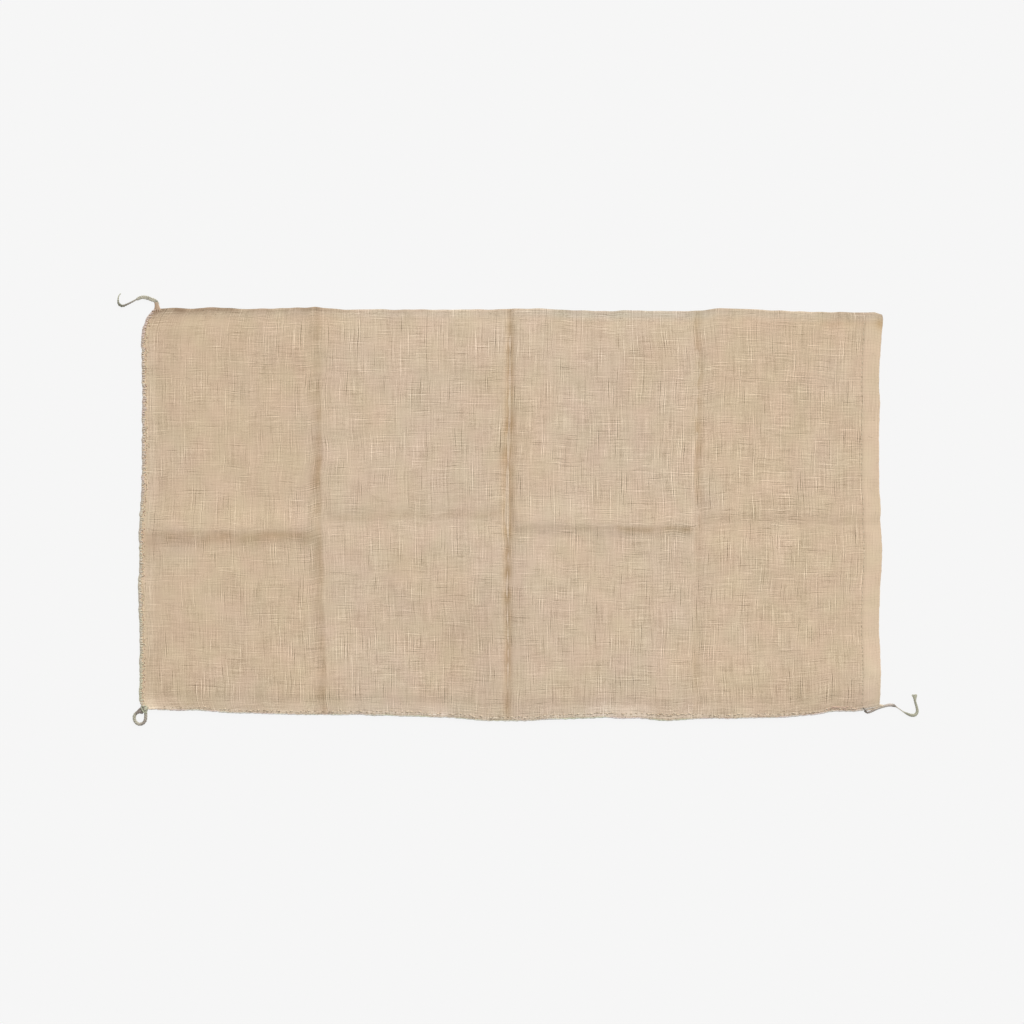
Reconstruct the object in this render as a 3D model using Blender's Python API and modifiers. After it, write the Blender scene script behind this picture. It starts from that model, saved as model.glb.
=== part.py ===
"""A jute sack lying flat and empty: a folded cloth pocket, its seam threads and three loose thread ends.

The sack lies on the plane z = 0. +X runs from the closed end to the mouth, +Y from the
side seam to the fold, +Z up. The origin is under the middle of its outline.
Every table below is in millimetres; the meshes are in metres.
"""

from bisect import bisect_right

import bmesh
import bpy
from mathutils import Vector

MM = 0.001

# Driving dimensions, in millimetres.
LENGTH = 1110.4  # over the wavy outline, closed end to mouth
WIDTH = 616.4  # over the wavy outline, side seam to fold
CLOTH = 1.5  # one layer of cloth
GAP = 0.3  # clearance between neighbouring pieces
HEM_WIDTH = 26.0  # turned-in band round the mouth
HEM_LAYERS = 2
HEM_RISE = 0.5  # how far the outer face swells over the hem
WRAP_WIDTH = 8.2  # overlock thread band along the closed end
WRAP = 0.9  # thickness of that band
THREAD = 2.2  # side-seam thread along the edge
LIP_TOP = 4.3  # upper face of the two layers inside the overlock band
LIP_BOTTOM = 1.3
SEAM_ALLOWANCE = 6.0  # fused strip behind the side seam
END_ALLOWANCE = 14.0  # fused strip behind the closed end
LEAST_HOLLOW = 0.8  # height of the hollow where it runs out against a seam
CUTTER_REACH = 12.0  # the hollow's cutter past the mouth

HALF_LENGTH = LENGTH / 2
HALF_WIDTH = WIDTH / 2

# The outline: x of a station, y of the edge there.
FOLD_EDGE = [
    (-555, 305.5), (-519, 305.8), (-490, 305.0), (-466, 306.7), (-424, 305.4), (-401, 304.2),
    (-357, 305.5), (-290, 307.5), (-246, 303.4), (-200, 303.7), (-22, 304.0), (0, 305.2),
    (45, 305.3), (89, 302.8), (134, 301.4), (178, 302.4), (268, 301.3), (290, 302.8),
    (314, 305.6), (357, 304.0), (424, 301.0), (513, 299.4), (544, 299.6), (555, 296.0),
]
SEAM_EDGE = [
    (-555, -292.6), (-520, -293.8), (-476, -293.3), (-431, -296.9), (-320, -300.2), (-230, -300.2),
    (-186, -301.5), (-97, -304.3), (-52, -307.8), (-30, -309.4), (15, -309.3), (59, -307.3),
    (104, -305.6), (149, -304.5), (193, -305.8), (238, -309.1), (260, -308.1), (285, -305.8),
    (327, -306.0), (394, -304.5), (438, -302.4), (483, -295.4), (518, -295.0), (530, -293.2),
    (545, -289.9), (555, -287.8),
]
# The outline: y of a station, x of the edge there.
CLOSED_END = [
    (-308, -545.0), (-297, -550.6), (-290, -552.3), (-171, -551.6), (-131, -553.2), (-100, -554.2),
    (-60, -552.3), (-29, -552.0), (-9, -553.4), (26, -550.7), (77, -548.6), (177, -547.8),
    (244, -548.9), (261, -549.7), (277, -548.0), (294, -541.5), (301, -537.3), (308, -530.5),
]
MOUTH = [
    (-308, 550.4), (-254, 551.2), (-214, 550.1), (-174, 548.6), (-94, 550.0), (-74, 551.9),
    (-34, 553.1), (-14, 551.9), (5, 550.4), (23, 550.9), (57, 548.6), (144, 548.6), (179, 550.1),
    (196, 548.6), (231, 548.5), (248, 550.1), (265, 550.9), (283, 552.6), (300, 554.9), (308, 553.5),
]

# The three creases across the sack: x at the seam, at the middle and at the fold.
CROSS_CREASES = {
    "closed_third": (-271.5, -280.0, -281.0),
    "middle": (-3.0, -3.4, 1.4),
    "mouth_third": (273.5, 278.0, 276.5),
}
# How far each one rises or sinks either side of the lengthwise crease, and how far it
# spreads towards the closed end and towards the mouth.
CROSS_SHAPES = [
    # crease, rise by the seam, rise by the fold, spread to -X, spread to +X
    ("closed_third", 2.3, 2.0, 16, 56),
    ("middle", -2.0, -2.3, 13, 13),
    ("mouth_third", -1.2, -1.6, 46, 17),
]
# The one crease along the sack: x of a station, y of the crease there.
LONG_CREASE = [
    (-555, -23.0), (-400, -22.5), (-300, -22.0), (-270, -14.5), (-200, -11.8), (-80, -8.0),
    (-10, -9.0), (15, -12.5), (85, -13.1), (204, -16.4), (277, -15.0), (357, -13.0),
    (468, -17.0), (555, -18.0),
]
# It changes side from one panel to the next.
LONG_SHAPES = [
    # panel from x, to x, rise, spread to the seam, spread to the fold
    (-600, -280, 3.2, 34, 42),
    (-280, 0, -1.2, 40, 24),
    (0, 277, 2.6, 22, 38),
    (277, 600, -1.4, 44, 20),
]
TURN_OVER = 14.0  # length over which the long crease changes side at a cross crease
SHOULDER = 0.7  # the cloth stands this much proud beside the middle crease
SHOULDER_AT = (14, 27, 46)  # from the crease: where it starts, peaks and ends
UNDERSIDE_SHARE = 0.3  # how much of a crease's rise the lower layer follows

# Height of the upper face over each panel: x of its middle, by the seam, by the fold.
PANEL_LOFT = [
    (-418, 10.9, 11.6),
    (-140, 11.5, 11.9),
    (138, 12.0, 11.6),
    (415, 11.2, 11.0),
]
MOUTH_LOFT = 12.4  # the upper layer stands off the lower one at the mouth

# Sections of the edges: distance inward, underside height, share of the loft reached.
FOLD_SECTION = [
    (0, 3.0, 0.0), (1.5, 1.3, 0.27), (4, 0.3, 0.43), (9, 0.0, 0.56), (28, 0.0, 0.82), (62, 0.0, 1.0),
]
SEAM_SECTION = [
    (0, 1.6, 0.0), (1.4, 0.7, 0.12), (4.5, 0.0, 0.24), (12, 0.0, 0.45), (32, 0.0, 0.84), (62, 0.0, 1.0),
]
END_SECTION = [
    (0, 0.0), (10, 0.0), (18, 0.32), (34, 0.72), (62, 1.0),
]
FOLD_TOP = 4.4  # upper face right at the folded edge
SEAM_TOP = 3.4  # upper face right at the seamed edge
EDGE_EASE = 0.7  # the edges of the closed end's lip are eased by this much

# Mesh stations, measured from the feature that each list is named after.
FROM_END = (WRAP + GAP, WRAP + GAP + 1, 10, 18, 34, 62)
FROM_MOUTH = (84, HEM_WIDTH + 1.5, HEM_WIDTH, 1.2, 0)
AROUND_CREASE = {
    "closed_third": (-60, -16, -5, 0, 18, 56),
    "middle": (-27, -13, -5, 0, 5, 13, 27),
    "mouth_third": (-46, -15, 0, 6, 17, 50),
}
MID_PANELS = (-440, -390, -170, -100, 90, 165, 375, 425)
FROM_SEAM = (THREAD + GAP, THREAD + GAP + 1.4, 7, 14.5, 34.5, 64.5)
FROM_FOLD = (62, 28, 9, 4, 1.5, 0)
AROUND_LONG = (-40, -20, -7, 0, 9, 24, 42)
MID_ROWS = (-185, -110, 90, 165)

# The loose thread ends: points of each route in plan, and the height of its middle.
END_TAIL_THREAD = 3.6
END_TAIL = [
    (-525.1, 307.8, 2.8), (-525.5, 312.9, 2.3), (-529.5, 317.1, 1.9), (-535.7, 319.5, 1.9),
    (-542.3, 321.7, 1.9), (-548.7, 322.1, 1.9), (-555.6, 319.3, 1.9), (-563.2, 315.3, 1.9),
    (-570.6, 311.6, 1.9), (-577.6, 309.2, 1.9), (-582.8, 312.1, 1.9), (-584.0, 318.1, 1.9),
    (-583.0, 323.9, 1.9), (-580.1, 327.9, 1.9),
]
LOOP_THREAD = 4.2
END_LOOP = [
    (-543.0, -292.6, 2.6), (-542.7, -298.6, 2.3), (-542.8, -304.0, 2.2), (-543.9, -309.1, 2.2),
    (-547.1, -312.7, 2.2), (-551.4, -313.9, 2.2), (-555.7, -312.7, 2.2), (-558.8, -308.9, 2.2),
    (-559.9, -304.0, 2.2), (-558.8, -299.8, 2.2), (-555.7, -296.6, 2.3), (-551.4, -295.5, 2.5),
    (-547.3, -296.5, 2.6),
]
SIDE_TAIL_THREAD = 3.2
SIDE_TAIL = [
    (527.9, -294.0, 2.4), (532.5, -296.6, 1.9), (538.5, -294.8, 1.7), (544.5, -291.8, 1.7),
    (551.0, -289.2, 1.7), (557.8, -287.0, 1.7), (564.8, -285.4, 1.7), (571.4, -286.0, 1.7),
    (577.8, -289.6, 1.7), (584.0, -294.0, 1.7), (590.6, -297.8, 1.7), (597.5, -300.5, 1.7),
    (603.5, -300.0, 1.7), (606.7, -295.2, 1.7), (605.9, -288.4, 1.7), (603.9, -281.4, 1.7),
    (602.5, -275.2, 1.7), (602.5, -270.0, 1.7),
]
STEPS_PER_SPAN = 2  # points on each tube between two points of its route

FINISHES = {
    # name: colour, roughness
    "jute_cloth": ((0.604, 0.474, 0.337), 0.95),
    "seam_thread": ((0.43, 0.38, 0.32), 0.9),
}


def along(table, at):
    """The second column of a table, read between its rows and held past its ends."""
    index = min(max(bisect_right([row[0] for row in table], at), 1), len(table) - 1)
    (start, low), (end, high) = table[index - 1], table[index]
    share = min(max((at - start) / (end - start), 0.0), 1.0)
    return low + (high - low) * share


def eased(share):
    share = min(max(share, 0.0), 1.0)
    return share * share * (3 - 2 * share)


def crease_line(name, y):
    at_seam, at_middle, at_fold = CROSS_CREASES[name]
    return along([(-HALF_WIDTH, at_seam), (0, at_middle), (HALF_WIDTH, at_fold)], y)


def plan(x, y):
    """Where a point of the plain rectangle lies, once the edges and the creases wander."""
    shift = [(-HALF_LENGTH, along(CLOSED_END, y) + HALF_LENGTH)]
    for name in CROSS_CREASES:
        straight = CROSS_CREASES[name][1]
        shift.append((straight, crease_line(name, y) - straight))
    shift.append((HALF_LENGTH, along(MOUTH, y) - HALF_LENGTH))
    rise = [
        (-HALF_WIDTH, along(SEAM_EDGE, x) + HALF_WIDTH),
        (0, along(LONG_CREASE, x)),
        (HALF_WIDTH, along(FOLD_EDGE, x) - HALF_WIDTH),
    ]
    return x + along(shift, x), y + along(rise, y)


def spread(distance, towards_minus, towards_plus):
    """1 on a crease, falling to 0 where it has spread out on either side."""
    reach = towards_minus if distance < 0 else towards_plus
    return max(0.0, 1.0 - abs(distance) / reach) ** 2


def creases(x, y):
    """How far the creases lift or lower the upper face."""
    height = 0.0
    for name, by_seam, by_fold, minus, plus in CROSS_SHAPES:
        distance = x - CROSS_CREASES[name][1]
        side = eased(0.5 + y / (2 * AROUND_LONG[-1]))
        height += (by_seam + (by_fold - by_seam) * side) * spread(distance, minus, plus)
    start, peak, end = SHOULDER_AT
    away = abs(x - CROSS_CREASES["middle"][1])
    height += SHOULDER * eased((away - start) / (peak - start)) * eased((end - away) / (end - peak))
    for first, last, rise, minus, plus in LONG_SHAPES:
        height += rise * eased(min(x - first, last - x) / TURN_OVER) * spread(y, minus, plus)
    return height


def loft(x, y):
    """Height of the upper face away from the edges, with its creases."""
    mouth = [(HALF_LENGTH, MOUTH_LOFT)]
    seam_row = [(middle, by_seam) for middle, by_seam, _ in PANEL_LOFT] + mouth
    fold_row = [(middle, by_fold) for middle, _, by_fold in PANEL_LOFT] + mouth
    side = eased(0.5 + y / HALF_WIDTH)
    level = along(seam_row, x) + (along(fold_row, x) - along(seam_row, x)) * side
    if x > HALF_LENGTH - HEM_WIDTH - 1:
        level += HEM_RISE
    return level + creases(x, y)


def side_of(y):
    """The edge that a row is nearer to: its section, its distance in and the height right at it."""
    if y > 0:
        return FOLD_SECTION, HALF_WIDTH - y, FOLD_TOP
    return SEAM_SECTION, y + HALF_WIDTH - THREAD - GAP, SEAM_TOP


def at_lip_edge(x):
    return x < -HALF_LENGTH + FROM_END[0] + 0.01


def upper_face(x, y):
    section, inward, edge_top = side_of(y)
    share = along([(row[0], row[2]) for row in section], inward)
    height = edge_top + (loft(x, y) - edge_top) * share
    lip = along(END_SECTION, x + HALF_LENGTH)
    height = LIP_TOP + (height - LIP_TOP) * lip
    return height - (EDGE_EASE if at_lip_edge(x) or x > HALF_LENGTH - 0.01 else 0.0)


def lower_face(x, y):
    section, inward, _ = side_of(y)
    edge = along([(row[0], row[1]) for row in section], inward)
    share = along([(row[0], row[2]) for row in section], inward)
    height = edge + UNDERSIDE_SHARE * max(creases(x, y), 0.0) * share
    lip = eased(along(END_SECTION, x + HALF_LENGTH) * 2.2)
    height = LIP_BOTTOM + (height - LIP_BOTTOM) * lip
    return height + (EDGE_EASE if at_lip_edge(x) else 0.0)


def layers(x):
    return HEM_LAYERS if x > HALF_LENGTH - HEM_WIDTH - 1 else 1


def hollow_face(x, y, side):
    """The inner face of the upper (1) or the lower (-1) layer."""
    x = min(x, HALF_LENGTH - EDGE_EASE)
    top, bottom = upper_face(x, y), lower_face(x, y)
    wall = CLOTH * layers(x)
    half = max(top - bottom - 2 * wall, LEAST_HOLLOW) / 2
    return (top + bottom) / 2 + side * half


def columns():
    found = [-HALF_LENGTH + inward for inward in FROM_END]
    found += [HALF_LENGTH - inward for inward in FROM_MOUTH]
    for name, offsets in AROUND_CREASE.items():
        found += [CROSS_CREASES[name][1] + offset for offset in offsets]
    return sorted(found + list(MID_PANELS))


def rows():
    found = [-HALF_WIDTH + inward for inward in FROM_SEAM]
    found += [HALF_WIDTH - inward for inward in FROM_FOLD]
    return sorted(found + list(AROUND_LONG) + list(MID_ROWS))


def slab(name, xs, ys, top, bottom):
    """A closed sheet over the stations xs and ys, between two height functions."""
    across, along_y = len(xs) - 1, len(ys) - 1
    mesh = bmesh.new()
    bmesh.ops.create_grid(mesh, x_segments=across, y_segments=along_y, size=1.0)
    raised = bmesh.ops.duplicate(mesh, geom=mesh.verts[:] + mesh.edges[:] + mesh.faces[:])
    upper = {item for item in raised["geom"] if isinstance(item, bmesh.types.BMVert)}
    bmesh.ops.translate(mesh, verts=list(upper), vec=(0, 0, 1))
    rim = [edge for edge in mesh.edges if edge.is_boundary]
    bmesh.ops.bridge_loops(mesh, edges=rim)
    for vert in mesh.verts:
        x = xs[round((vert.co.x + 1) / 2 * across)]
        y = ys[round((vert.co.y + 1) / 2 * along_y)]
        height = top if vert in upper else bottom
        vert.co = Vector((*plan(x, y), height(x, y))) * MM
    bmesh.ops.recalc_face_normals(mesh, faces=mesh.faces)
    data = bpy.data.meshes.new(name)
    mesh.to_mesh(data)
    mesh.free()
    data.shade_smooth()
    data.set_sharp_from_angle(angle=0.7)
    return bpy.data.objects.new(name, data)


def pocket_cloth(parts, cutters):
    """One cloth folded into a pocket: the slab of both layers, with the hollow cut from it."""
    cloth = slab("sack_cloth", columns(), rows(), upper_face, lower_face)
    parts.objects.link(cloth)
    start = -HALF_LENGTH + END_ALLOWANCE
    xs = [start] + [x for x in columns() if start + 2 < x < HALF_LENGTH - 2]
    xs.append(HALF_LENGTH + CUTTER_REACH)
    seam_side = -HALF_WIDTH + THREAD + GAP + SEAM_ALLOWANCE
    fold_side = HALF_WIDTH - FROM_FOLD[-2] - CLOTH / 2
    ys = [seam_side] + [y for y in rows() if seam_side + 2 < y < fold_side - 1] + [fold_side]
    hollow = slab(
        "sack_hollow", xs, ys,
        lambda x, y: hollow_face(x, y, 1),
        lambda x, y: hollow_face(x, y, -1),
    )
    cutters.objects.link(hollow)
    hollow.hide_render = True
    hollow.display_type = "WIRE"
    cut = cloth.modifiers.new("hollow", "BOOLEAN")
    cut.operation = "DIFFERENCE"
    cut.object = hollow
    return cloth


def overlock_band(parts):
    """The thread that wraps the closed end: a bent strip that holds both layers."""
    inner = LIP_TOP + GAP + WRAP / 2
    under = LIP_BOTTOM - GAP - WRAP / 2
    near = WRAP / 2
    section = [
        (WRAP_WIDTH, inner), (near + 1.1, inner), (near, inner - 1.1),
        (near, under + 1.1), (near + 1.1, under), (WRAP_WIDTH, under),
    ]
    ys = rows()
    mesh = bmesh.new()
    bmesh.ops.create_grid(mesh, x_segments=len(section) - 1, y_segments=len(ys) - 1, size=1.0)
    for vert in mesh.verts:
        inward, height = section[round((vert.co.x + 1) / 2 * (len(section) - 1))]
        y = ys[round((vert.co.y + 1) / 2 * (len(ys) - 1))]
        vert.co = Vector((*plan(-HALF_LENGTH + inward, y), height)) * MM
    data = bpy.data.meshes.new("end_seam")
    mesh.to_mesh(data)
    mesh.free()
    data.shade_smooth()
    data.set_sharp_from_angle(angle=0.7)
    band = bpy.data.objects.new("end_seam", data)
    parts.objects.link(band)
    solid = band.modifiers.new("thread", "SOLIDIFY")
    solid.thickness = WRAP * MM
    solid.offset = 0
    solid.use_even_offset = True
    return band


def thread(parts, name, points, diameter):
    """A round thread through its points, as a curve with a bevel and closed ends."""
    curve = bpy.data.curves.new(name, "CURVE")
    curve.dimensions = "3D"
    curve.bevel_depth = diameter / 2 * MM
    curve.bevel_resolution = 2
    curve.use_fill_caps = True
    line = curve.splines.new("POLY")
    line.points.add(len(points) - 1)
    for point, place in zip(line.points, points):
        point.co = (*(Vector(place) * MM), 1.0)
    tube = bpy.data.objects.new(name, curve)
    parts.objects.link(tube)
    return tube


def smooth_route(points):
    """Points read from a smooth curve through the route, ends included."""
    ends = [2 * Vector(points[0]) - Vector(points[1]), 2 * Vector(points[-1]) - Vector(points[-2])]
    held = [ends[0]] + [Vector(point) for point in points] + [ends[1]]
    found = []
    for before, start, end, after in zip(held, held[1:], held[2:], held[3:]):
        for step in range(STEPS_PER_SPAN):
            t = step / STEPS_PER_SPAN
            found.append(
                start
                + (end - before) * (0.5 * t)
                + (before * 2 - start * 5 + end * 4 - after) * (0.5 * t * t)
                + (start * 3 - before - end * 3 + after) * (0.5 * t * t * t)
            )
    return found + [held[-2]]


def side_seam_thread(parts):
    """The thread that shows along the seamed edge, from the closed end to the hem."""
    height = (SEAM_SECTION[0][1] + SEAM_TOP) / 2
    last = HALF_LENGTH - HEM_WIDTH - 2
    stations = [x for x in columns() if -HALF_LENGTH + END_ALLOWANCE < x < last] + [last]
    edge = -HALF_WIDTH + THREAD / 2
    return thread(parts, "side_seam", [(*plan(x, edge), height) for x in stations], THREAD)


def finish(name):
    colour, roughness = FINISHES[name]
    material = bpy.data.materials.new(name)
    material.use_nodes = True
    shader = material.node_tree.nodes["Principled BSDF"]
    shader.inputs["Base Color"].default_value = (*colour, 1)
    shader.inputs["Roughness"].default_value = roughness
    shader.inputs["Metallic"].default_value = 0.0
    return material


def main():
    for item in list(bpy.data.objects):
        bpy.data.objects.remove(item, do_unlink=True)
    parts = bpy.data.collections.new("jute_sack")
    cutters = bpy.data.collections.new("cutters")
    for group in (parts, cutters):
        bpy.context.scene.collection.children.link(group)
    cloth = pocket_cloth(parts, cutters)
    threads = [
        overlock_band(parts),
        side_seam_thread(parts),
        thread(parts, "end_tail", smooth_route(END_TAIL), END_TAIL_THREAD),
        thread(parts, "end_loop", smooth_route(END_LOOP), LOOP_THREAD),
        thread(parts, "side_tail", smooth_route(SIDE_TAIL), SIDE_TAIL_THREAD),
    ]
    cloth.data.materials.append(finish("jute_cloth"))
    for piece in threads:
        piece.data.materials.append(finish("seam_thread"))


main()
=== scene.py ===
"""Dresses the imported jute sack: woven cloth with its creases, seam threads, loose ends and stray fibres.

The cloth and the threads repeat the tables of the solids that they replace, in millimetres,
and refine them. +X runs to the mouth, +Y to the fold, +Z up; the floor is z = 0.
"""

import math

import bpy
import numpy as np
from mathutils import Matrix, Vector


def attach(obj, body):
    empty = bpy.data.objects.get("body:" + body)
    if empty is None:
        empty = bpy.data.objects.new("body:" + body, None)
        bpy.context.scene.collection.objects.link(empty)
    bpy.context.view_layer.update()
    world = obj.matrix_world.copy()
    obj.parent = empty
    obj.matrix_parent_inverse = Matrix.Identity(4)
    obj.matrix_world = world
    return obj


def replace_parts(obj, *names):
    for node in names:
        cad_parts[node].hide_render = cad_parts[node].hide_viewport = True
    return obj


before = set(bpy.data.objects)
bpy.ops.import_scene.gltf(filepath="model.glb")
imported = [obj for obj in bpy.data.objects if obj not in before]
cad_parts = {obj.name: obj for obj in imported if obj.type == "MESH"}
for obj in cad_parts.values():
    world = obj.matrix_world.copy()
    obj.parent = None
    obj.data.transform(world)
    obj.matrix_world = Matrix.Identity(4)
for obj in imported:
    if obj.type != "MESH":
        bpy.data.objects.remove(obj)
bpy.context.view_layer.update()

MM = 0.001
TAU = 2 * math.pi

# The photograph's frame.
FRAME_PIXELS = 1024
MM_PER_PIXEL = 1.4865
SACK_PIXEL = (510.05, 513.5)  # where the sack's middle is in the frame
CAMERA_HEIGHT = 4000.0
CLOTH_HEIGHT = 11.0  # the height at which the scale holds

# The studio: the key light's turn from +X, its height and its spread are in degrees.
KEY, KEY_TURN, KEY_HEIGHT, KEY_SOFTNESS = 2.55, 62.0, 36.0, 34.0
KEY_COLOUR = (1.0, 0.985, 0.965)
WHITE = (1.0, 1.0, 1.0, 1)
SURROUND = 0.46
FLOOR_HALF = 6.0  # in metres
FLOOR_ALBEDO, FLOOR_GLOW = 0.04, 0.885

# The sack, as in its solids.
LENGTH, WIDTH = 1110.4, 616.4
HALF_LENGTH, HALF_WIDTH = LENGTH / 2, WIDTH / 2
CLOTH = 1.3  # one layer of cloth; the solid's is 1.5
HEM_WIDTH = 26.0
HEM_RISE = 0.5  # how far the outer face swells over the hem
LIP_TOP, LIP_BOTTOM = 4.3, 1.3  # faces of the two layers at the closed end
END_INSET = 1.2  # the cloth's edge inside the overlock stitches
SEAM_INSET = 1.6  # the cloth's edge inside the side seam's thread
FOLD_TOP, SEAM_TOP = 4.4, 3.4  # upper face right at the two long edges

# The outline: x of a station, y of the edge there.
FOLD_EDGE = [
    (-555, 305.5), (-519, 305.8), (-490, 305.0), (-466, 306.7), (-424, 305.4), (-401, 304.2),
    (-357, 305.5), (-290, 307.5), (-246, 303.4), (-200, 303.7), (-22, 304.0), (0, 305.2),
    (45, 305.3), (89, 302.8), (134, 301.4), (178, 302.4), (268, 301.3), (290, 302.8),
    (314, 305.6), (357, 304.0), (424, 301.0), (513, 299.4), (544, 299.6), (555, 296.0),
]
SEAM_EDGE = [
    (-555, -292.6), (-520, -293.8), (-476, -293.3), (-431, -296.9), (-320, -300.2), (-230, -300.2),
    (-186, -301.5), (-97, -304.3), (-52, -307.8), (-30, -309.4), (15, -309.3), (59, -307.3),
    (104, -305.6), (149, -304.5), (193, -305.8), (238, -309.1), (260, -308.1), (285, -305.8),
    (327, -306.0), (394, -304.5), (438, -302.4), (483, -295.4), (518, -295.0), (530, -293.2),
    (545, -289.9), (555, -287.8),
]
# And y of a station, x of the edge there.
CLOSED_END = [
    (-308, -545.0), (-297, -550.6), (-290, -552.3), (-171, -551.6), (-131, -553.2), (-100, -554.2),
    (-60, -552.3), (-29, -552.0), (-9, -553.4), (26, -550.7), (77, -548.6), (177, -547.8),
    (244, -548.9), (261, -549.7), (277, -548.0), (294, -541.5), (301, -537.3), (308, -530.5),
]
MOUTH = [
    (-308, 550.4), (-254, 551.2), (-214, 550.1), (-174, 548.6), (-94, 550.0), (-74, 551.9),
    (-34, 553.1), (-14, 551.9), (5, 550.4), (23, 550.9), (57, 548.6), (144, 548.6), (179, 550.1),
    (196, 548.6), (231, 548.5), (248, 550.1), (265, 550.9), (283, 552.6), (300, 554.9), (308, 553.5),
]
# Creases across the sack: x at the seam, at the middle, at the fold.
CROSS_CREASES = [(-271.5, -280.0, -281.0), (-3.0, -3.4, 1.4), (273.5, 278.0, 276.5)]
# Their rise by the seam and by the fold, and their spread to -X and to +X.
CROSS_SHAPES = [(2.3, 2.0, 16, 56), (-2.0, -2.3, 13, 13), (-1.2, -1.6, 46, 17)]
# The crease along the sack: x of a station, y of the crease there.
LONG_CREASE = [
    (-555, -23.0), (-400, -22.5), (-300, -22.0), (-270, -14.5), (-200, -11.8), (-80, -8.0),
    (-10, -9.0), (15, -12.5), (85, -13.1), (204, -16.4), (277, -15.0), (357, -13.0),
    (468, -17.0), (555, -18.0),
]
# It changes with each panel: from x, to x, rise, spread to the seam, spread to the fold.
LONG_SHAPES = [
    (-600, -280, 3.2, 34, 42), (-280, 0, -1.2, 40, 24), (0, 277, 2.6, 22, 38), (277, 600, -1.4, 44, 20),
]
SHARPNESS, LONG_SHARPNESS = 0.45, 0.25  # how far a crease has a crest, and not a rounded top
TURN_OVER = 14.0  # length over which the long crease changes at a cross crease
SHOULDER, SHOULDER_AT = 0.7, (14, 27, 46)  # beside the middle crease: its rise, start, peak and end
UNDERSIDE_SHARE = 0.3  # how much of a crease's rise the lower layer follows
# Height of the upper face over each panel: x of its middle, by the seam, by the fold.
PANEL_LOFT = [(-418, 10.9, 11.6), (-140, 11.5, 11.9), (138, 12.0, 11.6), (415, 11.2, 11.0)]
MOUTH_LOFT = 12.4
# Sections of the long edges: distance inward, underside height, share of the loft reached.
FOLD_SECTION = [
    (0, 3.0, 0.0), (1.5, 1.3, 0.27), (4, 0.3, 0.43), (9, 0.0, 0.56), (28, 0.0, 0.82), (62, 0.0, 1.0),
]
SEAM_SECTION = [
    (0, 1.6, 0.0), (1.4, 0.7, 0.12), (4.5, 0.0, 0.24), (12, 0.0, 0.45), (32, 0.0, 0.84), (62, 0.0, 1.0),
]
# And of the closed end: distance inward, share of the loft reached.
END_SECTION = [(0, 0.0), (10, 0.0), (18, 0.32), (34, 0.72), (62, 1.0)]


def along(table, at, column=1):
    """A column of a table, read at one or many places between its rows."""
    rows = np.array([[row[0], row[column]] for row in table], float)
    return np.interp(at, rows[:, 0], rows[:, 1])


def eased(share):
    """From 0 to 1 with a soft start and a soft end."""
    share = np.clip(share, 0.0, 1.0)
    return share * share * (3 - 2 * share)


def bell(distance, width):
    """1 at no distance, falling away softly over about a width."""
    return np.exp(-((distance / width) ** 2))


def flank(distance, towards_minus, towards_plus):
    """From 1 at a line to 0 at its reach on each side."""
    return 1 - eased(np.abs(distance) / np.where(distance < 0, towards_minus, towards_plus))


def waves(x, y, count, shortest, longest, seed):
    """A smooth uneven surface about 0: seeded sine waves in every direction, of spread 1."""
    rng = np.random.default_rng(seed)
    total = np.zeros(np.broadcast(x, y).shape)
    for _ in range(count):
        length = shortest * (longest / shortest) ** rng.random()
        angle, phase = rng.random() * math.pi, rng.random() * TAU
        total += np.sin(TAU / length * (x * math.cos(angle) + y * math.sin(angle)) + phase)
    return total / math.sqrt(count / 2)


def ripple(at, count, shortest, longest, seed):
    """The same unevenness along one line."""
    return waves(at, 0 * at, count, shortest, longest, seed)


def patches(table, x, y):
    """The sum of soft patches: each row has x, y, its reach along and across, and how much."""
    total = 0.0 * x * y
    for at_x, at_y, along_x, along_y, more in table:
        total = total + more * bell(x - at_x, along_x) * bell(y - at_y, along_y)
    return total


# ---------------------------------------------------------------- camera, lights and floor

def set_camera():
    """Straight above, with the lens that gives the photograph's scale at the cloth."""
    data = bpy.data.cameras.new("camera")
    data.sensor_width = 36.0
    data.lens = data.sensor_width * (CAMERA_HEIGHT - CLOTH_HEIGHT) / (FRAME_PIXELS * MM_PER_PIXEL)
    data.clip_end = 50.0
    camera = bpy.data.objects.new("camera", data)
    aside_x = (FRAME_PIXELS / 2 - SACK_PIXEL[0]) * MM_PER_PIXEL
    aside_y = (SACK_PIXEL[1] - FRAME_PIXELS / 2) * MM_PER_PIXEL
    camera.location = (aside_x * MM, aside_y * MM, CAMERA_HEIGHT * MM)
    bpy.context.scene.collection.objects.link(camera)
    bpy.context.scene.camera = camera


def set_light():
    """A wide soft key from beyond the fold and the mouth, and a plain bright surround."""
    scene = bpy.context.scene
    scene.view_settings.view_transform = "Standard"
    scene.world = bpy.data.worlds.new("studio")
    scene.world.use_nodes = True
    surround = scene.world.node_tree.nodes["Background"]
    surround.inputs["Color"].default_value = WHITE
    surround.inputs["Strength"].default_value = SURROUND
    data = bpy.data.lights.new("key", "SUN")
    data.energy = KEY
    data.angle = math.radians(KEY_SOFTNESS)
    data.color = KEY_COLOUR
    light = bpy.data.objects.new("key", data)
    turn, height = math.radians(KEY_TURN), math.radians(KEY_HEIGHT)
    flat = math.cos(height)
    towards = Vector((math.cos(turn) * flat, math.sin(turn) * flat, math.sin(height)))
    light.rotation_euler = (-towards).to_track_quat("-Z", "Y").to_euler()
    scene.collection.objects.link(light)


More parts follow.
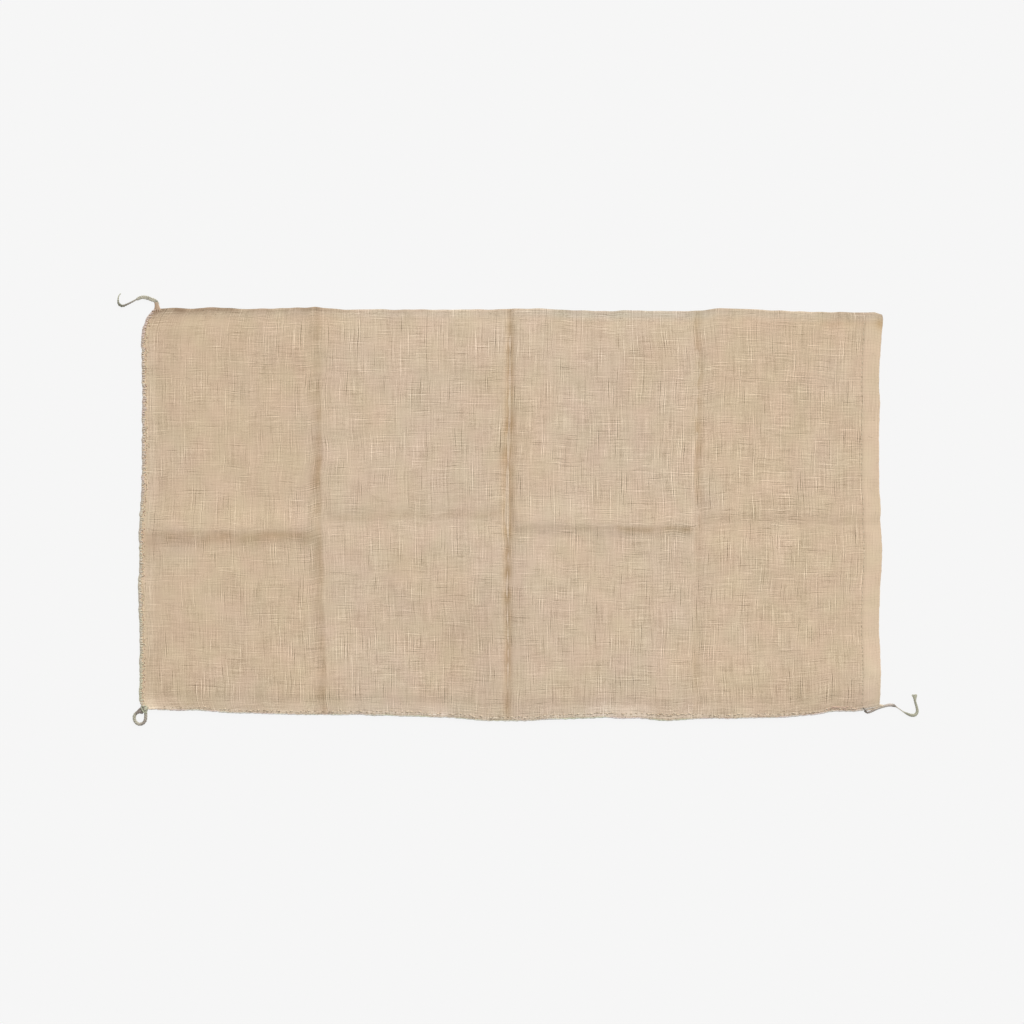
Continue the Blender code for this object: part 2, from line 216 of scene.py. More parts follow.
def lay_floor():
    """A plain pale floor that glows, so that it stays near white as the photograph's does."""
    mesh = bpy.data.meshes.new("floor")
    corners = [(-1, -1), (1, -1), (1, 1), (-1, 1)]
    mesh.from_pydata([(x * FLOOR_HALF, y * FLOOR_HALF, 0.0) for x, y in corners], [], [(0, 1, 2, 3)])
    floor = bpy.data.objects.new("floor", mesh)
    bpy.context.scene.collection.objects.link(floor)
    mesh.materials.append(Nodes("floor").finish({
        "Base Color": (FLOOR_ALBEDO, FLOOR_ALBEDO, FLOOR_ALBEDO, 1), "Roughness": 1.0,
        "Specular IOR Level": 0.0, "Emission Color": WHITE, "Emission Strength": FLOOR_GLOW,
    }))


# ---------------------------------------------------------------- node materials

class Value:
    """A number that a node gives. Sums and products of such numbers build the nodes for them."""

    def __init__(self, nodes, socket):
        self.nodes = nodes
        self.socket = socket

    def __add__(self, other):
        return self.nodes.math("ADD", self, other)

    def __radd__(self, other):
        return self.nodes.math("ADD", other, self)

    def __sub__(self, other):
        return self.nodes.math("SUBTRACT", self, other)

    def __rsub__(self, other):
        return self.nodes.math("SUBTRACT", other, self)

    def __mul__(self, other):
        return self.nodes.math("MULTIPLY", self, other)

    def __truediv__(self, other):
        return self.nodes.math("DIVIDE", self, other)


class Nodes:
    """Short calls for building a material's node tree."""

    def __init__(self, name):
        self.material = bpy.data.materials.new(name)
        self.material.use_nodes = True
        self.tree = self.material.node_tree
        self.shader = self.tree.nodes["Principled BSDF"]

    def node(self, kind, inputs=(), **settings):
        made = self.tree.nodes.new(kind)
        for key, value in settings.items():
            setattr(made, key, value)
        for key, value in dict(inputs).items():
            self.put(made.inputs[key], value)
        return made

    def put(self, socket, value):
        value = getattr(value, "socket", value)
        if isinstance(value, bpy.types.NodeSocket):
            self.tree.links.new(value, socket)
        else:
            socket.default_value = value

    def math(self, operation, *values):
        made = self.node("ShaderNodeMath", enumerate(values), operation=operation)
        return Value(self, made.outputs[0])

    def clamp(self, value, low, high):
        return self.math("MINIMUM", self.math("MAXIMUM", value, low), high)

    def vector(self, x, y, z=0.0):
        return self.node("ShaderNodeCombineXYZ", {"X": x, "Y": y, "Z": z}).outputs[0]

    def clouds(self, x, y, reach, seed, detail=1.0):
        """Noise about 0, from -0.5 to 0.5; reach is the size of its patches, or one for x and one for y."""
        reach_x, reach_y = reach if isinstance(reach, tuple) else (reach, reach)
        place = self.vector(x * (1 / reach_x), y * (1 / reach_y), seed)
        settings = {"Vector": place, "Scale": 1.0, "Detail": detail, "Roughness": 0.5}
        return Value(self, self.node("ShaderNodeTexNoise", settings).outputs["Fac"]) - 0.5

    def random(self, place):
        """A random number for each cell, from -0.5 to 0.5."""
        made = self.node("ShaderNodeTexWhiteNoise", {"Vector": place}, noise_dimensions="3D")
        return Value(self, made.outputs["Value"]) - 0.5

    def blend(self, share, first, second, blend_type="MIX"):
        inputs = {0: share, 6: first, 7: second}
        made = self.node("ShaderNodeMix", inputs, data_type="RGBA", blend_type=blend_type)
        return made.outputs[2]

    def tint(self, colour, tint, share=1.0):
        """A colour multiplied by a tint, as far as share says."""
        return self.blend(share, colour, tint, "MULTIPLY")

    def tone(self, value, green, blue):
        """A grey value as a colour whose green and blue follow it by these powers."""
        green, blue = (self.math("POWER", value, power) for power in (green, blue))
        channels = {"Red": value, "Green": green, "Blue": blue}
        return self.node("ShaderNodeCombineColor", channels).outputs[0]

    def attribute(self, name):
        return Value(self, self.node("ShaderNodeAttribute", attribute_name=name).outputs["Fac"])

    def bump(self, height, strength, distance):
        """Small relief of a surface; distance is in metres."""
        inputs = {"Height": height, "Strength": strength, "Distance": distance}
        return self.node("ShaderNodeBump", inputs).outputs[0]

    def finish(self, inputs):
        """Fills the shader's own sockets and gives the material."""
        for key, value in inputs.items():
            self.put(self.shader.inputs[key], value)
        return self.material


PITCH = (2.38, 2.15)  # one thread of the weave to the next, along the sack and across it, in mm
PAIRED = 0.07  # how far two threads of one dent lean together, as a share of the pitch
CLOTH_COLOUR = (0.690, 0.547, 0.411, 1)
PINKER = (1.014, 0.993, 1.004, 1)
GREENER = (0.986, 1.007, 0.984, 1)
# The tint of each mark that is written on the cloth's points, in the order in which they lie; the crease and
# edge marks carry painted shade.
WEAR_AND_SHADE_TINTS = {
    "warm": (1.006, 0.985, 0.935, 1),
    "crease_shade_and_soil": (0.67, 0.55, 0.37, 1),
    "edge": (0.46, 0.40, 0.36, 1),
    "cool": (0.91, 0.995, 1.07, 1),
}
# The mark pale is painted light and shade.
PAINTED_LIGHT_LIFT = 0.19  # how much lighter the mark "pale" makes the cloth
HEM_LIGHTER, HEM_SMOOTHER = 0.10, 0.80  # the doubled hem is paler, and its weave shows less


def yarns(n, across, run, pitch, reach, seed):
    """One set of parallel threads: each one's tone along its length, and its round profile."""
    place = across / pitch
    index = n.math("FLOOR", place)
    second = n.math("FLOORED_MODULO", index, 2.0)
    part = place - index - 0.5 + (second * (2 * PAIRED) - PAIRED)
    own = n.random(n.vector(index, seed, 0.0))
    # Along a thread: its thick and thin places, its shorter ones, and its fibres.
    slub = n.clouds(index, run, (1 / 7.31, reach), seed)
    short = n.clouds(index, run, (1 / 5.17, reach / 5), seed + 4)
    fibre = n.clouds(across, run, (1.5, reach / 1.8), seed + 9)
    # Some threads stand proud and light for a stretch, others sink and go dark.
    proud = n.clamp(slub - 0.11, 0.0, 0.07)
    sunken = n.clamp(-0.12 - slub, 0.0, 0.08)
    crest = n.math("COSINE", part * TAU) * 1.5 + 0.2
    stray = (proud * 12.0 - sunken * 13.0 + own * 0.24) * crest
    tone = own * 0.07 + stray + short * 0.14 + fibre * 1.7
    width = 0.88 + own * 0.08 + slub * 0.30 + short * 0.15
    away = n.math("ABSOLUTE", part) / (width * 0.5)
    profile = n.math("SQRT", n.math("MAXIMUM", 1.0 - away * away, 0.0))
    return {"index": index, "part": part, "tone": tone, "round": profile}


def wander(n, x, y, reach, amount, seed):
    """A slow sideways drift of the threads, in mm."""
    return n.clouds(x, y, reach, seed, 2.0) * amount


def weave(n, x, y):
    """Both sets of threads, each with its height as it goes over and under the other."""
    along_x = x + wander(n, x, y, 120, 9.0, 3.7) + wander(n, x, y, 18, 0.9, 1.9)
    along_y = y + wander(n, x, y, 110, 8.0, 11.3) + wander(n, x, y, 16, 0.9, 8.1)
    warp = yarns(n, along_x, y, PITCH[0], 75.0, 5.0)
    weft = yarns(n, along_y, x, PITCH[1], 55.0, 23.0)
    parity = 1.0 - n.math("FLOORED_MODULO", warp["index"] + weft["index"], 2.0) * 2.0
    for yarn, other, side in ((warp, weft, 1.0), (weft, warp, -1.0)):
        crown = n.math("COSINE", other["part"] * math.pi)
        yarn["height"] = yarn["round"] * 0.6 + crown * parity * (0.4 * side)
    return warp, weft


def weave_value(n, x, y, warp, weft):
    """How light the weave is: both sets of threads show from a step away, with painted shade between them.
    """
    smooth = n.attribute("hem")
    blotch = n.clouds(x, y, 45, 2.2, 3.0)
    openness = n.clouds(x, y, 38, 14.2, 2.0)
    speck = n.clouds(x, y, 0.9, 6.4)
    rich = n.clamp(n.attribute("rich") + n.clouds(x, y, 24, 31.7) * 2.0, 0.2, 2.1)
    streaks = warp["tone"] * 0.26 + weft["tone"] * 0.21 + speck * 0.55
    streaks = streaks * rich * (1.0 - smooth * HEM_SMOOTHER)
    tone = 1.0 + streaks + blotch * 0.05 - openness * 0.05 + smooth * HEM_LIGHTER
    # painted shade in the gaps between the threads and on their rounded sides
    gap_shade_depth = n.math("MAXIMUM", openness * 0.18 + rich * 0.065, 0.02)
    gap_shade = (1.0 - warp["round"]) + (1.0 - weft["round"]) * 0.85
    return tone * (1.0 - gap_shade * gap_shade_depth)


def cloth_colour(n, x, y, value):
    """Jute's own colour with its slow changes of hue, then each mark of wear and painted shade in turn, and
    last the painted light of the mark pale.
    """
    colour = n.tint(CLOTH_COLOUR, n.tone(value, 1.10, 1.22))
    hue = n.clouds(x, y, (30, 38), 9.9, 0.0)
    share = n.node("ShaderNodeMapRange", {0: hue, 1: -0.24, 2: 0.24}).outputs[0]
    colour = n.tint(colour, n.blend(share, GREENER, PINKER))
    for mark, tint in WEAR_AND_SHADE_TINTS.items():
        colour = n.tint(colour, tint, n.attribute(mark))
    # the mark pale lifts the colour as painted light, and lowers it as painted shade where it is below 0
    return n.tint(colour, n.tone(1.0 + n.attribute("pale") * PAINTED_LIGHT_LIFT, 1.18, 1.4))


def cloth_material():
    """Plain-woven jute, in the cloth's own millimetres."""
    n = Nodes("jute_cloth")
    uv = n.node("ShaderNodeUVMap", uv_map="weave").outputs[0]
    apart = n.node("ShaderNodeSeparateXYZ", {0: uv})
    x, y = (Value(n, apart.outputs[axis]) * (1 / MM) for axis in "XY")
    warp, weft = weave(n, x, y)
    height = n.math("MAXIMUM", warp["height"], weft["height"])
    colour = cloth_colour(n, x, y, weave_value(n, x, y, warp, weft))
    return n.finish({
        "Base Color": colour, "Normal": n.bump(height, 0.30, 0.0006), "Roughness": 0.95,
        "Specular IOR Level": 0.10, "Sheen Weight": 0.05, "Sheen Roughness": 0.6,
    })


# Painted shade on a seam thread, where it dives into the cloth and over its needle holes.
DIVE_SHADE_TINT = (0.42, 0.35, 0.29, 1)  # a thread where it dives into the cloth
DARK_TINT = (0.40, 0.39, 0.38, 1)  # and a loose thread's dark parts
MAUVE = (1.01, 0.965, 1.01, 1)
OLIVE = (0.92, 1.02, 0.90, 1)


def thread_material(name, dark, light, darkest=DIVE_SHADE_TINT):
    """Twisted sewing thread between two colours, darkened and turned in hue by its points' marks."""
    n = Nodes(name)
    place = n.node("ShaderNodeTexCoord").outputs["Object"]
    fine = n.node("ShaderNodeTexNoise", {"Vector": place, "Scale": 900.0, "Detail": 3.0})
    broad = n.node("ShaderNodeTexNoise", {"Vector": place, "Scale": 90.0, "Detail": 2.0})
    fine, broad = (Value(n, noise.outputs["Fac"]) for noise in (fine, broad))
    share = fine * 0.7 + broad * 0.5 - 0.1
    hue = n.blend(n.attribute("olive"), MAUVE, OLIVE)
    colour = n.tint(n.blend(share, dark, light), hue)
    colour = n.tint(colour, darkest, n.attribute("shade"))
    return n.finish({
        "Base Color": colour, "Normal": n.bump(fine, 0.4, 0.0004), "Roughness": 0.9,
        "Specular IOR Level": 0.15,
    })


def crease_x(which, y):
    """Where a cross crease runs at y."""
    straight = np.interp(y, (-HALF_WIDTH, 0, HALF_WIDTH), CROSS_CREASES[which])
    return straight + 0.7 * ripple(y, 6, 30, 160, 40 + which)


def piecewise(x, knots, values):
    """Linear between knots, where knots are numbers and values are arrays like x."""
    result = values[0] + 0 * x
    for start, end, low, high in zip(knots, knots[1:], values, values[1:]):
        share = np.clip((x - start) / (end - start), 0, 1)
        result = np.where(x > start, low + (high - low) * share, result)
    return result


def plan(x, y):
    """Where a point of the plain rectangle lies, once edges and creases wander."""
    middles = [row[1] for row in CROSS_CREASES]
    shift = [
        along(CLOSED_END, y) + HALF_LENGTH + 0.35 * ripple(y, 8, 7, 40, 51),
        *(crease_x(k, y) - middle for k, middle in enumerate(middles)),
        along(MOUTH, y) - HALF_LENGTH + 0.3 * ripple(y, 8, 9, 60, 52),
    ]
    rise = [
        along(SEAM_EDGE, x) + HALF_WIDTH + 0.3 * ripple(x, 10, 9, 60, 53),
        along(LONG_CREASE, x) + 0.8 * ripple(x, 6, 30, 160, 54),
        along(FOLD_EDGE, x) - HALF_WIDTH + 0.3 * ripple(x, 10, 12, 80, 55),
    ]
    return (
        x + piecewise(x, [-HALF_LENGTH, *middles, HALF_LENGTH], shift),
        y + piecewise(y, [-HALF_WIDTH, 0, HALF_WIDTH], rise),
    )


def laid(x, y, height):
    """Points at these places of the plain rectangle and at this height."""
    return np.stack([*plan(x, y), height], -1)


def spread(distance, towards_minus, towards_plus, sharpness=SHARPNESS):
    """A crease's section: 1 on its line, down to 0 at its reach on each side, part crest, part round."""
    share = np.abs(distance) / np.where(distance < 0, towards_minus, towards_plus)
    return sharpness * np.maximum(0.0, 1.0 - share) ** 2 + (1 - sharpness) * (1 - eased(share))


def creases(x, y):
    """How far the creases lift the cloth, or sink it."""
    height = 0.0 * x * y
    towards_fold = eased(0.5 + y / 84)
    for (_, at, _), (by_seam, by_fold, minus, plus) in zip(CROSS_CREASES, CROSS_SHAPES):
        height = height + (by_seam + (by_fold - by_seam) * towards_fold) * spread(x - at, minus, plus)
    start, peak, end = SHOULDER_AT
    away = np.abs(x - CROSS_CREASES[1][1])
    height = height + SHOULDER * eased((away - start) / (peak - start)) * eased((end - away) / (end - peak))
    for first, last, rise, minus, plus in LONG_SHAPES:
        inside = eased(np.minimum(x - first, last - x) / TURN_OVER)
        height = height + rise * inside * spread(y, minus, plus, LONG_SHARPNESS)
    return height


def unevenness(x, y):
    """Soft undulations of cloth that has been folded and handled."""
    return 0.22 * waves(x, y, 16, 60, 240, 61) + 0.09 * waves(x, y, 18, 16, 50, 62)


def loft(x, y):
    """Height of the upper face away from the edges."""
    table = PANEL_LOFT + [(HALF_LENGTH, MOUTH_LOFT, MOUTH_LOFT)]
    by_seam, by_fold = along(table, x, 1), along(table, x, 2)
    level = by_seam + (by_fold - by_seam) * eased(0.5 + y / HALF_WIDTH)
    return level + creases(x, y) + unevenness(x, y)


def side_share(y):
    """The nearer long edge's section: share of the loft reached, underside, and upper face at the edge."""
    inward_fold, inward_seam = HALF_WIDTH - y, y + HALF_WIDTH - SEAM_INSET
    share, under = (
        np.where(y > 0, along(FOLD_SECTION, inward_fold, column), along(SEAM_SECTION, inward_seam, column))
        for column in (2, 1)
    )
    return share, under, np.where(y > 0, FOLD_TOP, SEAM_TOP)


def hem_shape(x):
    """The hem band: a little proud, with the row of stitches sunk along its inner edge."""
    inside = HALF_LENGTH - x
    band = HEM_RISE * eased((HEM_WIDTH + 1.5 - inside) / 3)
    groove = -0.45 * bell(inside - HEM_WIDTH - 0.5, 1.6)
    rim = -0.5 * eased(1 - inside / 1.6)
    return band + groove + rim


def upper_face(x, y):
    """Height of the upper layer's outer face."""
    share, _, edge_top = side_share(y)
    height = edge_top + (loft(x, y) + hem_shape(x) - edge_top) * share
    inward = x + HALF_LENGTH
    height = LIP_TOP + (height - LIP_TOP) * along(END_SECTION, inward)
    return height - 0.7 * eased(1 - (inward - END_INSET) / 1.2)


def lower_face(x, y):
    """Height of the lower layer's outer face."""
    share, under, _ = side_share(y)
    lift = np.maximum(creases(x, y), 0.0) * UNDERSIDE_SHARE
    dimple = 0.12 * np.maximum(waves(x, y, 14, 18, 90, 63), 0.0)
    height = under + (lift + dimple) * share
    inward = x + HALF_LENGTH
    height = LIP_BOTTOM + (height - LIP_BOTTOM) * eased(along(END_SECTION, inward) * 2.2)
    return height + 0.7 * eased(1 - (inward - END_INSET) / 1.2)


def hollow_faces(x, y):
    """The inner faces of both layers; the hem is doubled."""
    x_held = np.minimum(x, HALF_LENGTH - 1.6)
    top, bottom = upper_face(x_held, y), lower_face(x_held, y)
    wall = CLOTH * (1 + eased((HEM_WIDTH + 1 - (HALF_LENGTH - x)) / 2))
    half = np.maximum(top - bottom - 2 * wall, 0.5) / 2
    middle = (top + bottom) / 2
    return middle + half, middle - half


def stations(low, high, step, dense):
    """Stations from low to high at about a step, closer by the places in dense."""
    marks = [low]
    while marks[-1] < high:
        near = min(abs(marks[-1] - at) / reach for at, reach in dense)
        marks.append(marks[-1] + step * min(1.0, 0.35 + 0.65 * near))
    marks = np.array(marks)
    return low + (marks - low) * (high - low) / (marks[-1] - low)


def build_mesh(name, points, quads, triangles=()):
    """A smooth mesh of points in mm, with its four-sided faces first."""
    mesh = bpy.data.meshes.new(name)
    mesh.vertices.add(len(points))
    mesh.vertices.foreach_set("co", (points * MM).astype(np.float32).ravel())
    loops = np.concatenate([np.ravel(quads), np.ravel(triangles)]).astype(np.int32)
    mesh.loops.add(len(loops))
    mesh.loops.foreach_set("vertex_index", loops)
    sides = np.repeat([4, 3], [len(quads), len(triangles)])
    mesh.polygons.add(len(sides))
    mesh.polygons.foreach_set("loop_start", (np.cumsum(sides) - sides).astype(np.int32))
    mesh.shade_smooth()
    mesh.update(calc_edges=True)
    mesh.validate()
    return mesh


def mark_points(mesh, marks):
    """Writes each mark's number on every point, for the materials to read."""
    for mark, parts in marks.items():
        layer = mesh.attributes.new(mark, "FLOAT", "POINT")
        layer.data.foreach_set("value", np.concatenate(parts).ravel().astype(np.float32))


def ring_faces(index):
    """Four-sided faces between neighbouring rings of points, each ring closed."""
    after = np.roll(index, -1, axis=1)
    return np.stack([index[:-1], index[1:], after[1:], after[:-1]], -1).reshape(-1, 4)


def place(name, mesh, material, slot):
    """Puts a piece in the scene, on the sack's one body."""
    piece = bpy.data.objects.new(name, mesh)
    bpy.context.scene.collection.objects.link(piece)
    mesh.materials.append(material)
    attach(piece, "root")
    return piece


# The dark mark along each cross crease, painted shade with some brown soiling: y of a station, its depth on
# the first, middle and last.
CROSS_MARKS = [
    (-218, 0.21, 0.50, 0.12), (-102, 0.23, 0.74, 0.03), (94, 0.36, 0.76, 0.36), (225, 0.15, 0.62, 0.27),
]
# Along the lengthwise crease, a mark of painted shade with some brown soiling: from x, to x, the mark's y,
# its reach to the seam and the fold, depth.
LONG_MARKS = [
    (-600, -280, -11, 24, 12, 0.26), (-280, 0, 6, 8, 14, 0.09), (0, 150, -7, 12, 8, 0.05),
    (150, 277, -7, 11, 8, 0.29), (277, 600, 6, 8, 14, 0.05),
]


def crease_shade_and_soil(x, y):
    """How much darker and browner the cloth is: painted shade with some brown soiling along its creases, and
    darker at the mouth's fold corner.
    """
    first, middle, last = (row[1] for row in CROSS_CREASES)
    wide = 11 + 7 * bell(y - 70, 90)
    # painted shade, with some brown soiling: in the middle crease's valley, and on the flanks of the first
    # and last creases that are turned from the key
    middle_shade_and_soil = 0.08 * flank(x - middle - 0.5, 6, 6) + 0.66 * flank(x - middle + 0.5, wide, wide)
    dark = along(CROSS_MARKS, y, 1) * flank(x - first + 3, 19, 5.5)
    dark = dark + along(CROSS_MARKS, y, 2) * middle_shade_and_soil
    dark = dark + along(CROSS_MARKS, y, 3) * flank(x - last, 5, 16)
    for start, end, at, towards_seam, towards_fold, depth in LONG_MARKS:
        inside = eased(np.minimum(x - start, end - x) / TURN_OVER)
        dark = np.maximum(dark, depth * inside * flank(y - at, towards_seam, towards_fold))
    uneven = np.clip(1 + 0.28 * waves(x, y, 14, 20, 140, 71), 0.3, 1.7)
    corner = 0.16 * bell(y - 292, 8) * eased((x - 440) / 40) + 0.5 * bell(x - 551, 6) * bell(y - 294, 9)
    return np.clip(dark * uneven + corner, 0, 1)


# The darker edge along the fold: x, how dark its narrow line is, and the broad band behind it.
FOLD_DARKENING = [
    (-555, 0.70, 0.62), (-512, 0.60, 0.62), (-498, 0.45, 0.58), (-463, 0.50, 0.36), (-450, 0.52, 0.24),
    (-318, 0.58, 0.26), (-300, 0.42, 0.36), (-278, 0.45, 0.14), (-225, 0.42, 0.04), (-199, 0.55, 0.02),
    (-163, 0.50, 0.15), (-128, 0.45, 0.02), (-92, 0.22, 0.02), (-60, 0.15, 0.02), (-30, 0.30, 0.10),
    (20, 0.15, 0.10), (50, 0.34, 0.02), (85, 0.50, 0.0), (110, 0.34, 0.0), (193, 0.38, 0.02),
    (250, 0.20, 0.04), (330, 0.42, 0.04), (400, 0.25, 0.02), (440, 0.15, 0.04), (480, 0.18, 0.18),
    (555, 0.35, 0.26),
]


def edge_darkening_and_crease_shade(x, y):
    """How grey-dark the cloth is: along the fold, by the mouth's seam corner and on its rim, with painted
    shade beside the middle crease.
    """
    inward = HALF_WIDTH - y
    reach = 6 + 2 * eased((-455 - x) / 30)
    narrow = 0.8 * along(FOLD_DARKENING, x, 1) * flank(np.maximum(inward - 2, 0), reach, reach)
    broad = along(FOLD_DARKENING, x, 2) * flank(inward, 22, 22)
    patchy = np.clip(1.0 + 0.16 * waves(x, y, 10, 25, 160, 75), 0.5, 1.4)
    corner = 0.13 * eased((x - 430) / 60) * flank(y + HALF_WIDTH, 22, 22)
    # painted shade on the middle crease's flank that faces the key, just beside its line
    middle = 0.42 * along(CROSS_MARKS, y, 2) * flank(x - CROSS_CREASES[1][1] + 1.0, 4, 4.5)
    rim = 0.12 * flank(x - HALF_LENGTH, 3.5, 3.5)
    return np.clip((narrow + broad) * patchy + corner + middle + rim, 0, 1)


# How much greyer the fold's rounded edge is: x, amount.
FOLD_COOL = [(-555, 0.45), (20, 0.45), (80, 1.0), (290, 1.0), (310, 0.6), (555, 0.7)]


def coolness(x, y):
    """How much greyer the cloth is, on the fold's rounded edge."""
    return along(FOLD_COOL, x) * flank(np.maximum(HALF_WIDTH - y - 5, 0), 12, 12)


def hem_band(x, y):
    """1 on the doubled hem, 0 inside it."""
    return eased((HEM_WIDTH + 0.5 - (HALF_LENGTH - x)) / 2) + 0 * y


def warmth(x, y):
    """How much warmer the cloth is: the outer quarters of the sack more than its middle."""
    outer = eased((np.abs(x) - 250) / 90)
    return np.clip(0.25 + 0.75 * outer + 0.22 * waves(x, y, 12, 60, 300, 73), 0, 1)


# The strip inside the side seam, painted lighter to lift the shade of its slope down to the seam: x, how
# much lighter it is.
SEAM_PAINTED_LIGHT = [
    (-555, 0.7), (-500, 0.7), (-470, 0.40), (-380, 0.45), (-340, 0.95), (-300, 0.95), (-270, 0.50),
    (-240, 0.75), (-160, 0.80), (-125, 1.10), (-80, 1.00), (-55, 0.50), (20, 0.50), (50, 0.80),
    (110, 0.90), (130, 1.45), (205, 1.50), (228, 0.45), (285, 0.50), (300, 1.0), (330, 0.85), (350, 0.55),
    (430, 0.45), (450, 0.15), (555, 0.0),
]
# Broad parts painted a little lighter or darker, as soft light and shade: x, y, its reach along and across,
# how much lighter.
CLOTH_TONES = [
    (-430, 0, 130, 900, -0.17), (-281, 90, 32, 220, -0.17), (-59, -176, 80, 62, -0.40),
    (-200, -95, 55, 50, -0.15), (-400, 270, 150, 22, -0.20), (430, 274, 120, 18, -0.26),
    (352, 110, 45, 45, 0.12), (440, 30, 35, 60, 0.15), (60, 150, 26, 60, 0.10), (60, -50, 26, 70, 0.13),
    (-330, 226, 90, 4, -0.22), (-90, 100, 20, 40, -0.12), (205, 240, 26, 14, -0.18),
    (546, -250, 16, 60, 0.30), (-536, 287, 14, 24, -0.30), (-540, -30, 14, 18, -0.32),
    (-538, -248, 16, 36, -0.36), (-134, -70, 22, 18, -0.15), (75, -218, 30, 16, -0.15),
]


def painted_light_and_shade(x, y):
    """Painted light and shade: lighter along the side seam, on its rim and beside the closed end, and broad
    patches lighter or darker.
    """
    inward = y + HALF_WIDTH
    patchy = 1 + 0.15 * waves(x, y, 8, 30, 160, 76)
    beside_seam = along(SEAM_PAINTED_LIGHT, x) * (1 - eased((inward - 9) / 24)) * patchy
    # painted light on the seam's lip, which faces away from the key
    rim = 1.05 * (1 - eased((inward - 4) / 6))
    dull = 0.42 * bell(y + 220, 50) + 0.50 * bell(y + 35, 22) + 0.55 * bell(y - 290, 30)
    # painted light beside the closed end, whose slope faces away from the key
    beside_end = (0.66 - dull) * bell(x + HALF_LENGTH - 15, 8)
    return np.clip(beside_seam + beside_end + rim, 0, 2.6) + patches(CLOTH_TONES, x, y)


# Where the weave shows more or less than elsewhere: x, y, its reach along and across, how much more.
WEAVE_PATCHES = [
    (-440, 90, 100, 170, -0.28), (-500, -120, 60, 110, -0.28), (-400, -235, 90, 40, 0.20),
    (-150, -230, 110, 40, 0.20), (-200, 60, 60, 120, -0.15), (220, 0, 70, 260, 0.15),
    (420, 60, 110, 200, 0.20), (-480, 280, 60, 30, -0.35), (60, -40, 60, 60, -0.20),
    (420, -270, 90, 30, 0.30),
]


def richness(x, y):
    """How strongly the weave shows."""
    return 1.0 + patches(WEAVE_PATCHES, x, y)


def cloth_marks(x, y, outer):
    """The marks round each ring; the painted light and shade, the crease shade and soiling and the darker
    edges go on the outer face alone.
    """
    light, dark, dark_edges_and_crease_shade = (of(x, y) * outer for of in (painted_light_and_shade, crease_shade_and_soil, edge_darkening_and_crease_shade))
    return {
        "rich": round_sack(richness(x, y), richness(x, -y)),
        "pale": round_sack(light, light),
        "crease_shade_and_soil": round_sack(dark, 0.7 * dark),
        "warm": round_sack(warmth(x, y), warmth(x, -y)),
        "cool": round_sack(coolness(x, y), coolness(x, y)),
        "edge": round_sack(dark_edges_and_crease_shade, dark_edges_and_crease_shade),
        "hem": round_sack(hem_band(x, y), hem_band(x, y)),
    }


def round_sack(above, below):
    """Rings round the sack: over the upper face from seam to fold, and back under the lower one."""
    return np.concatenate([above, below[:, ::-1]], axis=1)


def cloth_stations():
    """The rings' x along the outside and back along the inside, and the y of each ring's points."""
    dense_x = [(-HALF_LENGTH, 30), (HALF_LENGTH - HEM_WIDTH, 12), (HALF_LENGTH, 12)]
    dense_x += [(row[1], 26) for row in CROSS_CREASES]
    outer_x = stations(-HALF_LENGTH + END_INSET, HALF_LENGTH, 4.6, dense_x)
    inner_x = [HALF_LENGTH - inward for inward in (0.8, 6, 24, 26, 29)]
    inner_x = np.concatenate([inner_x, np.linspace(HALF_LENGTH - 45, -HALF_LENGTH + 14, 30)])
    dense_y = [(-HALF_WIDTH, 26), (0, 26), (HALF_WIDTH, 20)]
    return outer_x, inner_x, stations(-HALF_WIDTH + SEAM_INSET, HALF_WIDTH, 4.9, dense_y)


def end_caps(index, rows):
    """Faces between the two layers, across the first ring and the last."""
    caps = []
    for ring, turn in ((index[0], 1), (index[-1], -1)):
        back = ring[::-1]
        cap = np.stack([ring[:rows - 1], ring[1:rows], back[1:rows], back[:rows - 1]], -1)
        caps.append(cap[:, ::turn])
    return np.concatenate(caps)


def unfolded(flat, faces):
    """Each face corner's place on the flat cloth, in metres, with no face torn at the side seam."""
    corners = flat[faces]
    torn = np.ptp(corners[..., 1], axis=1) > HALF_WIDTH
    far = corners[..., 1] > 2 * HALF_WIDTH
    corners[..., 1] -= np.where(torn[:, None] & far, 4 * HALF_WIDTH, 0)
    return (corners.reshape(-1, 2) * MM).astype(np.float32)


def cloth_piece():
    """The pocket as one closed skin: rings round the sack along its outside, then back inside."""
    outer_x, inner_x, ys = cloth_stations()
    rings, flat, marks = [], [], {}
    for xs, outer in ((outer_x, 1), (inner_x, 0)):
        x, y = np.meshgrid(xs, ys, indexing="ij")
        y_in = y if outer else np.clip(y, -HALF_WIDTH + 8, HALF_WIDTH - 2.2)
        top, bottom = (upper_face(x, y), lower_face(x, y)) if outer else hollow_faces(x, y_in)
        rings.append(round_sack(laid(x, y_in, top), laid(x, y_in, bottom)))
        flat.append(round_sack(np.stack([x, y], -1), np.stack([x, 2 * HALF_WIDTH - y], -1)))
        for mark, values in cloth_marks(x, y, outer).items():
            marks.setdefault(mark, []).append(values)
    rings, flat = np.concatenate(rings), np.concatenate(flat)
    index = np.arange(rings[..., 0].size).reshape(rings.shape[:2])
    faces = np.concatenate([ring_faces(index), end_caps(index, len(ys))])
    mesh = build_mesh("cloth", rings.reshape(-1, 3), faces)
    layer = mesh.uv_layers.new(name="weave")
    layer.data.foreach_set("uv", unfolded(flat.reshape(-1, 2), faces).ravel())
    mark_points(mesh, marks)
    piece = place("cloth", mesh, cloth_material(), "jute_cloth")
    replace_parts(piece, "sack_cloth")
    return piece


# ---------------------------------------------------------------- threads

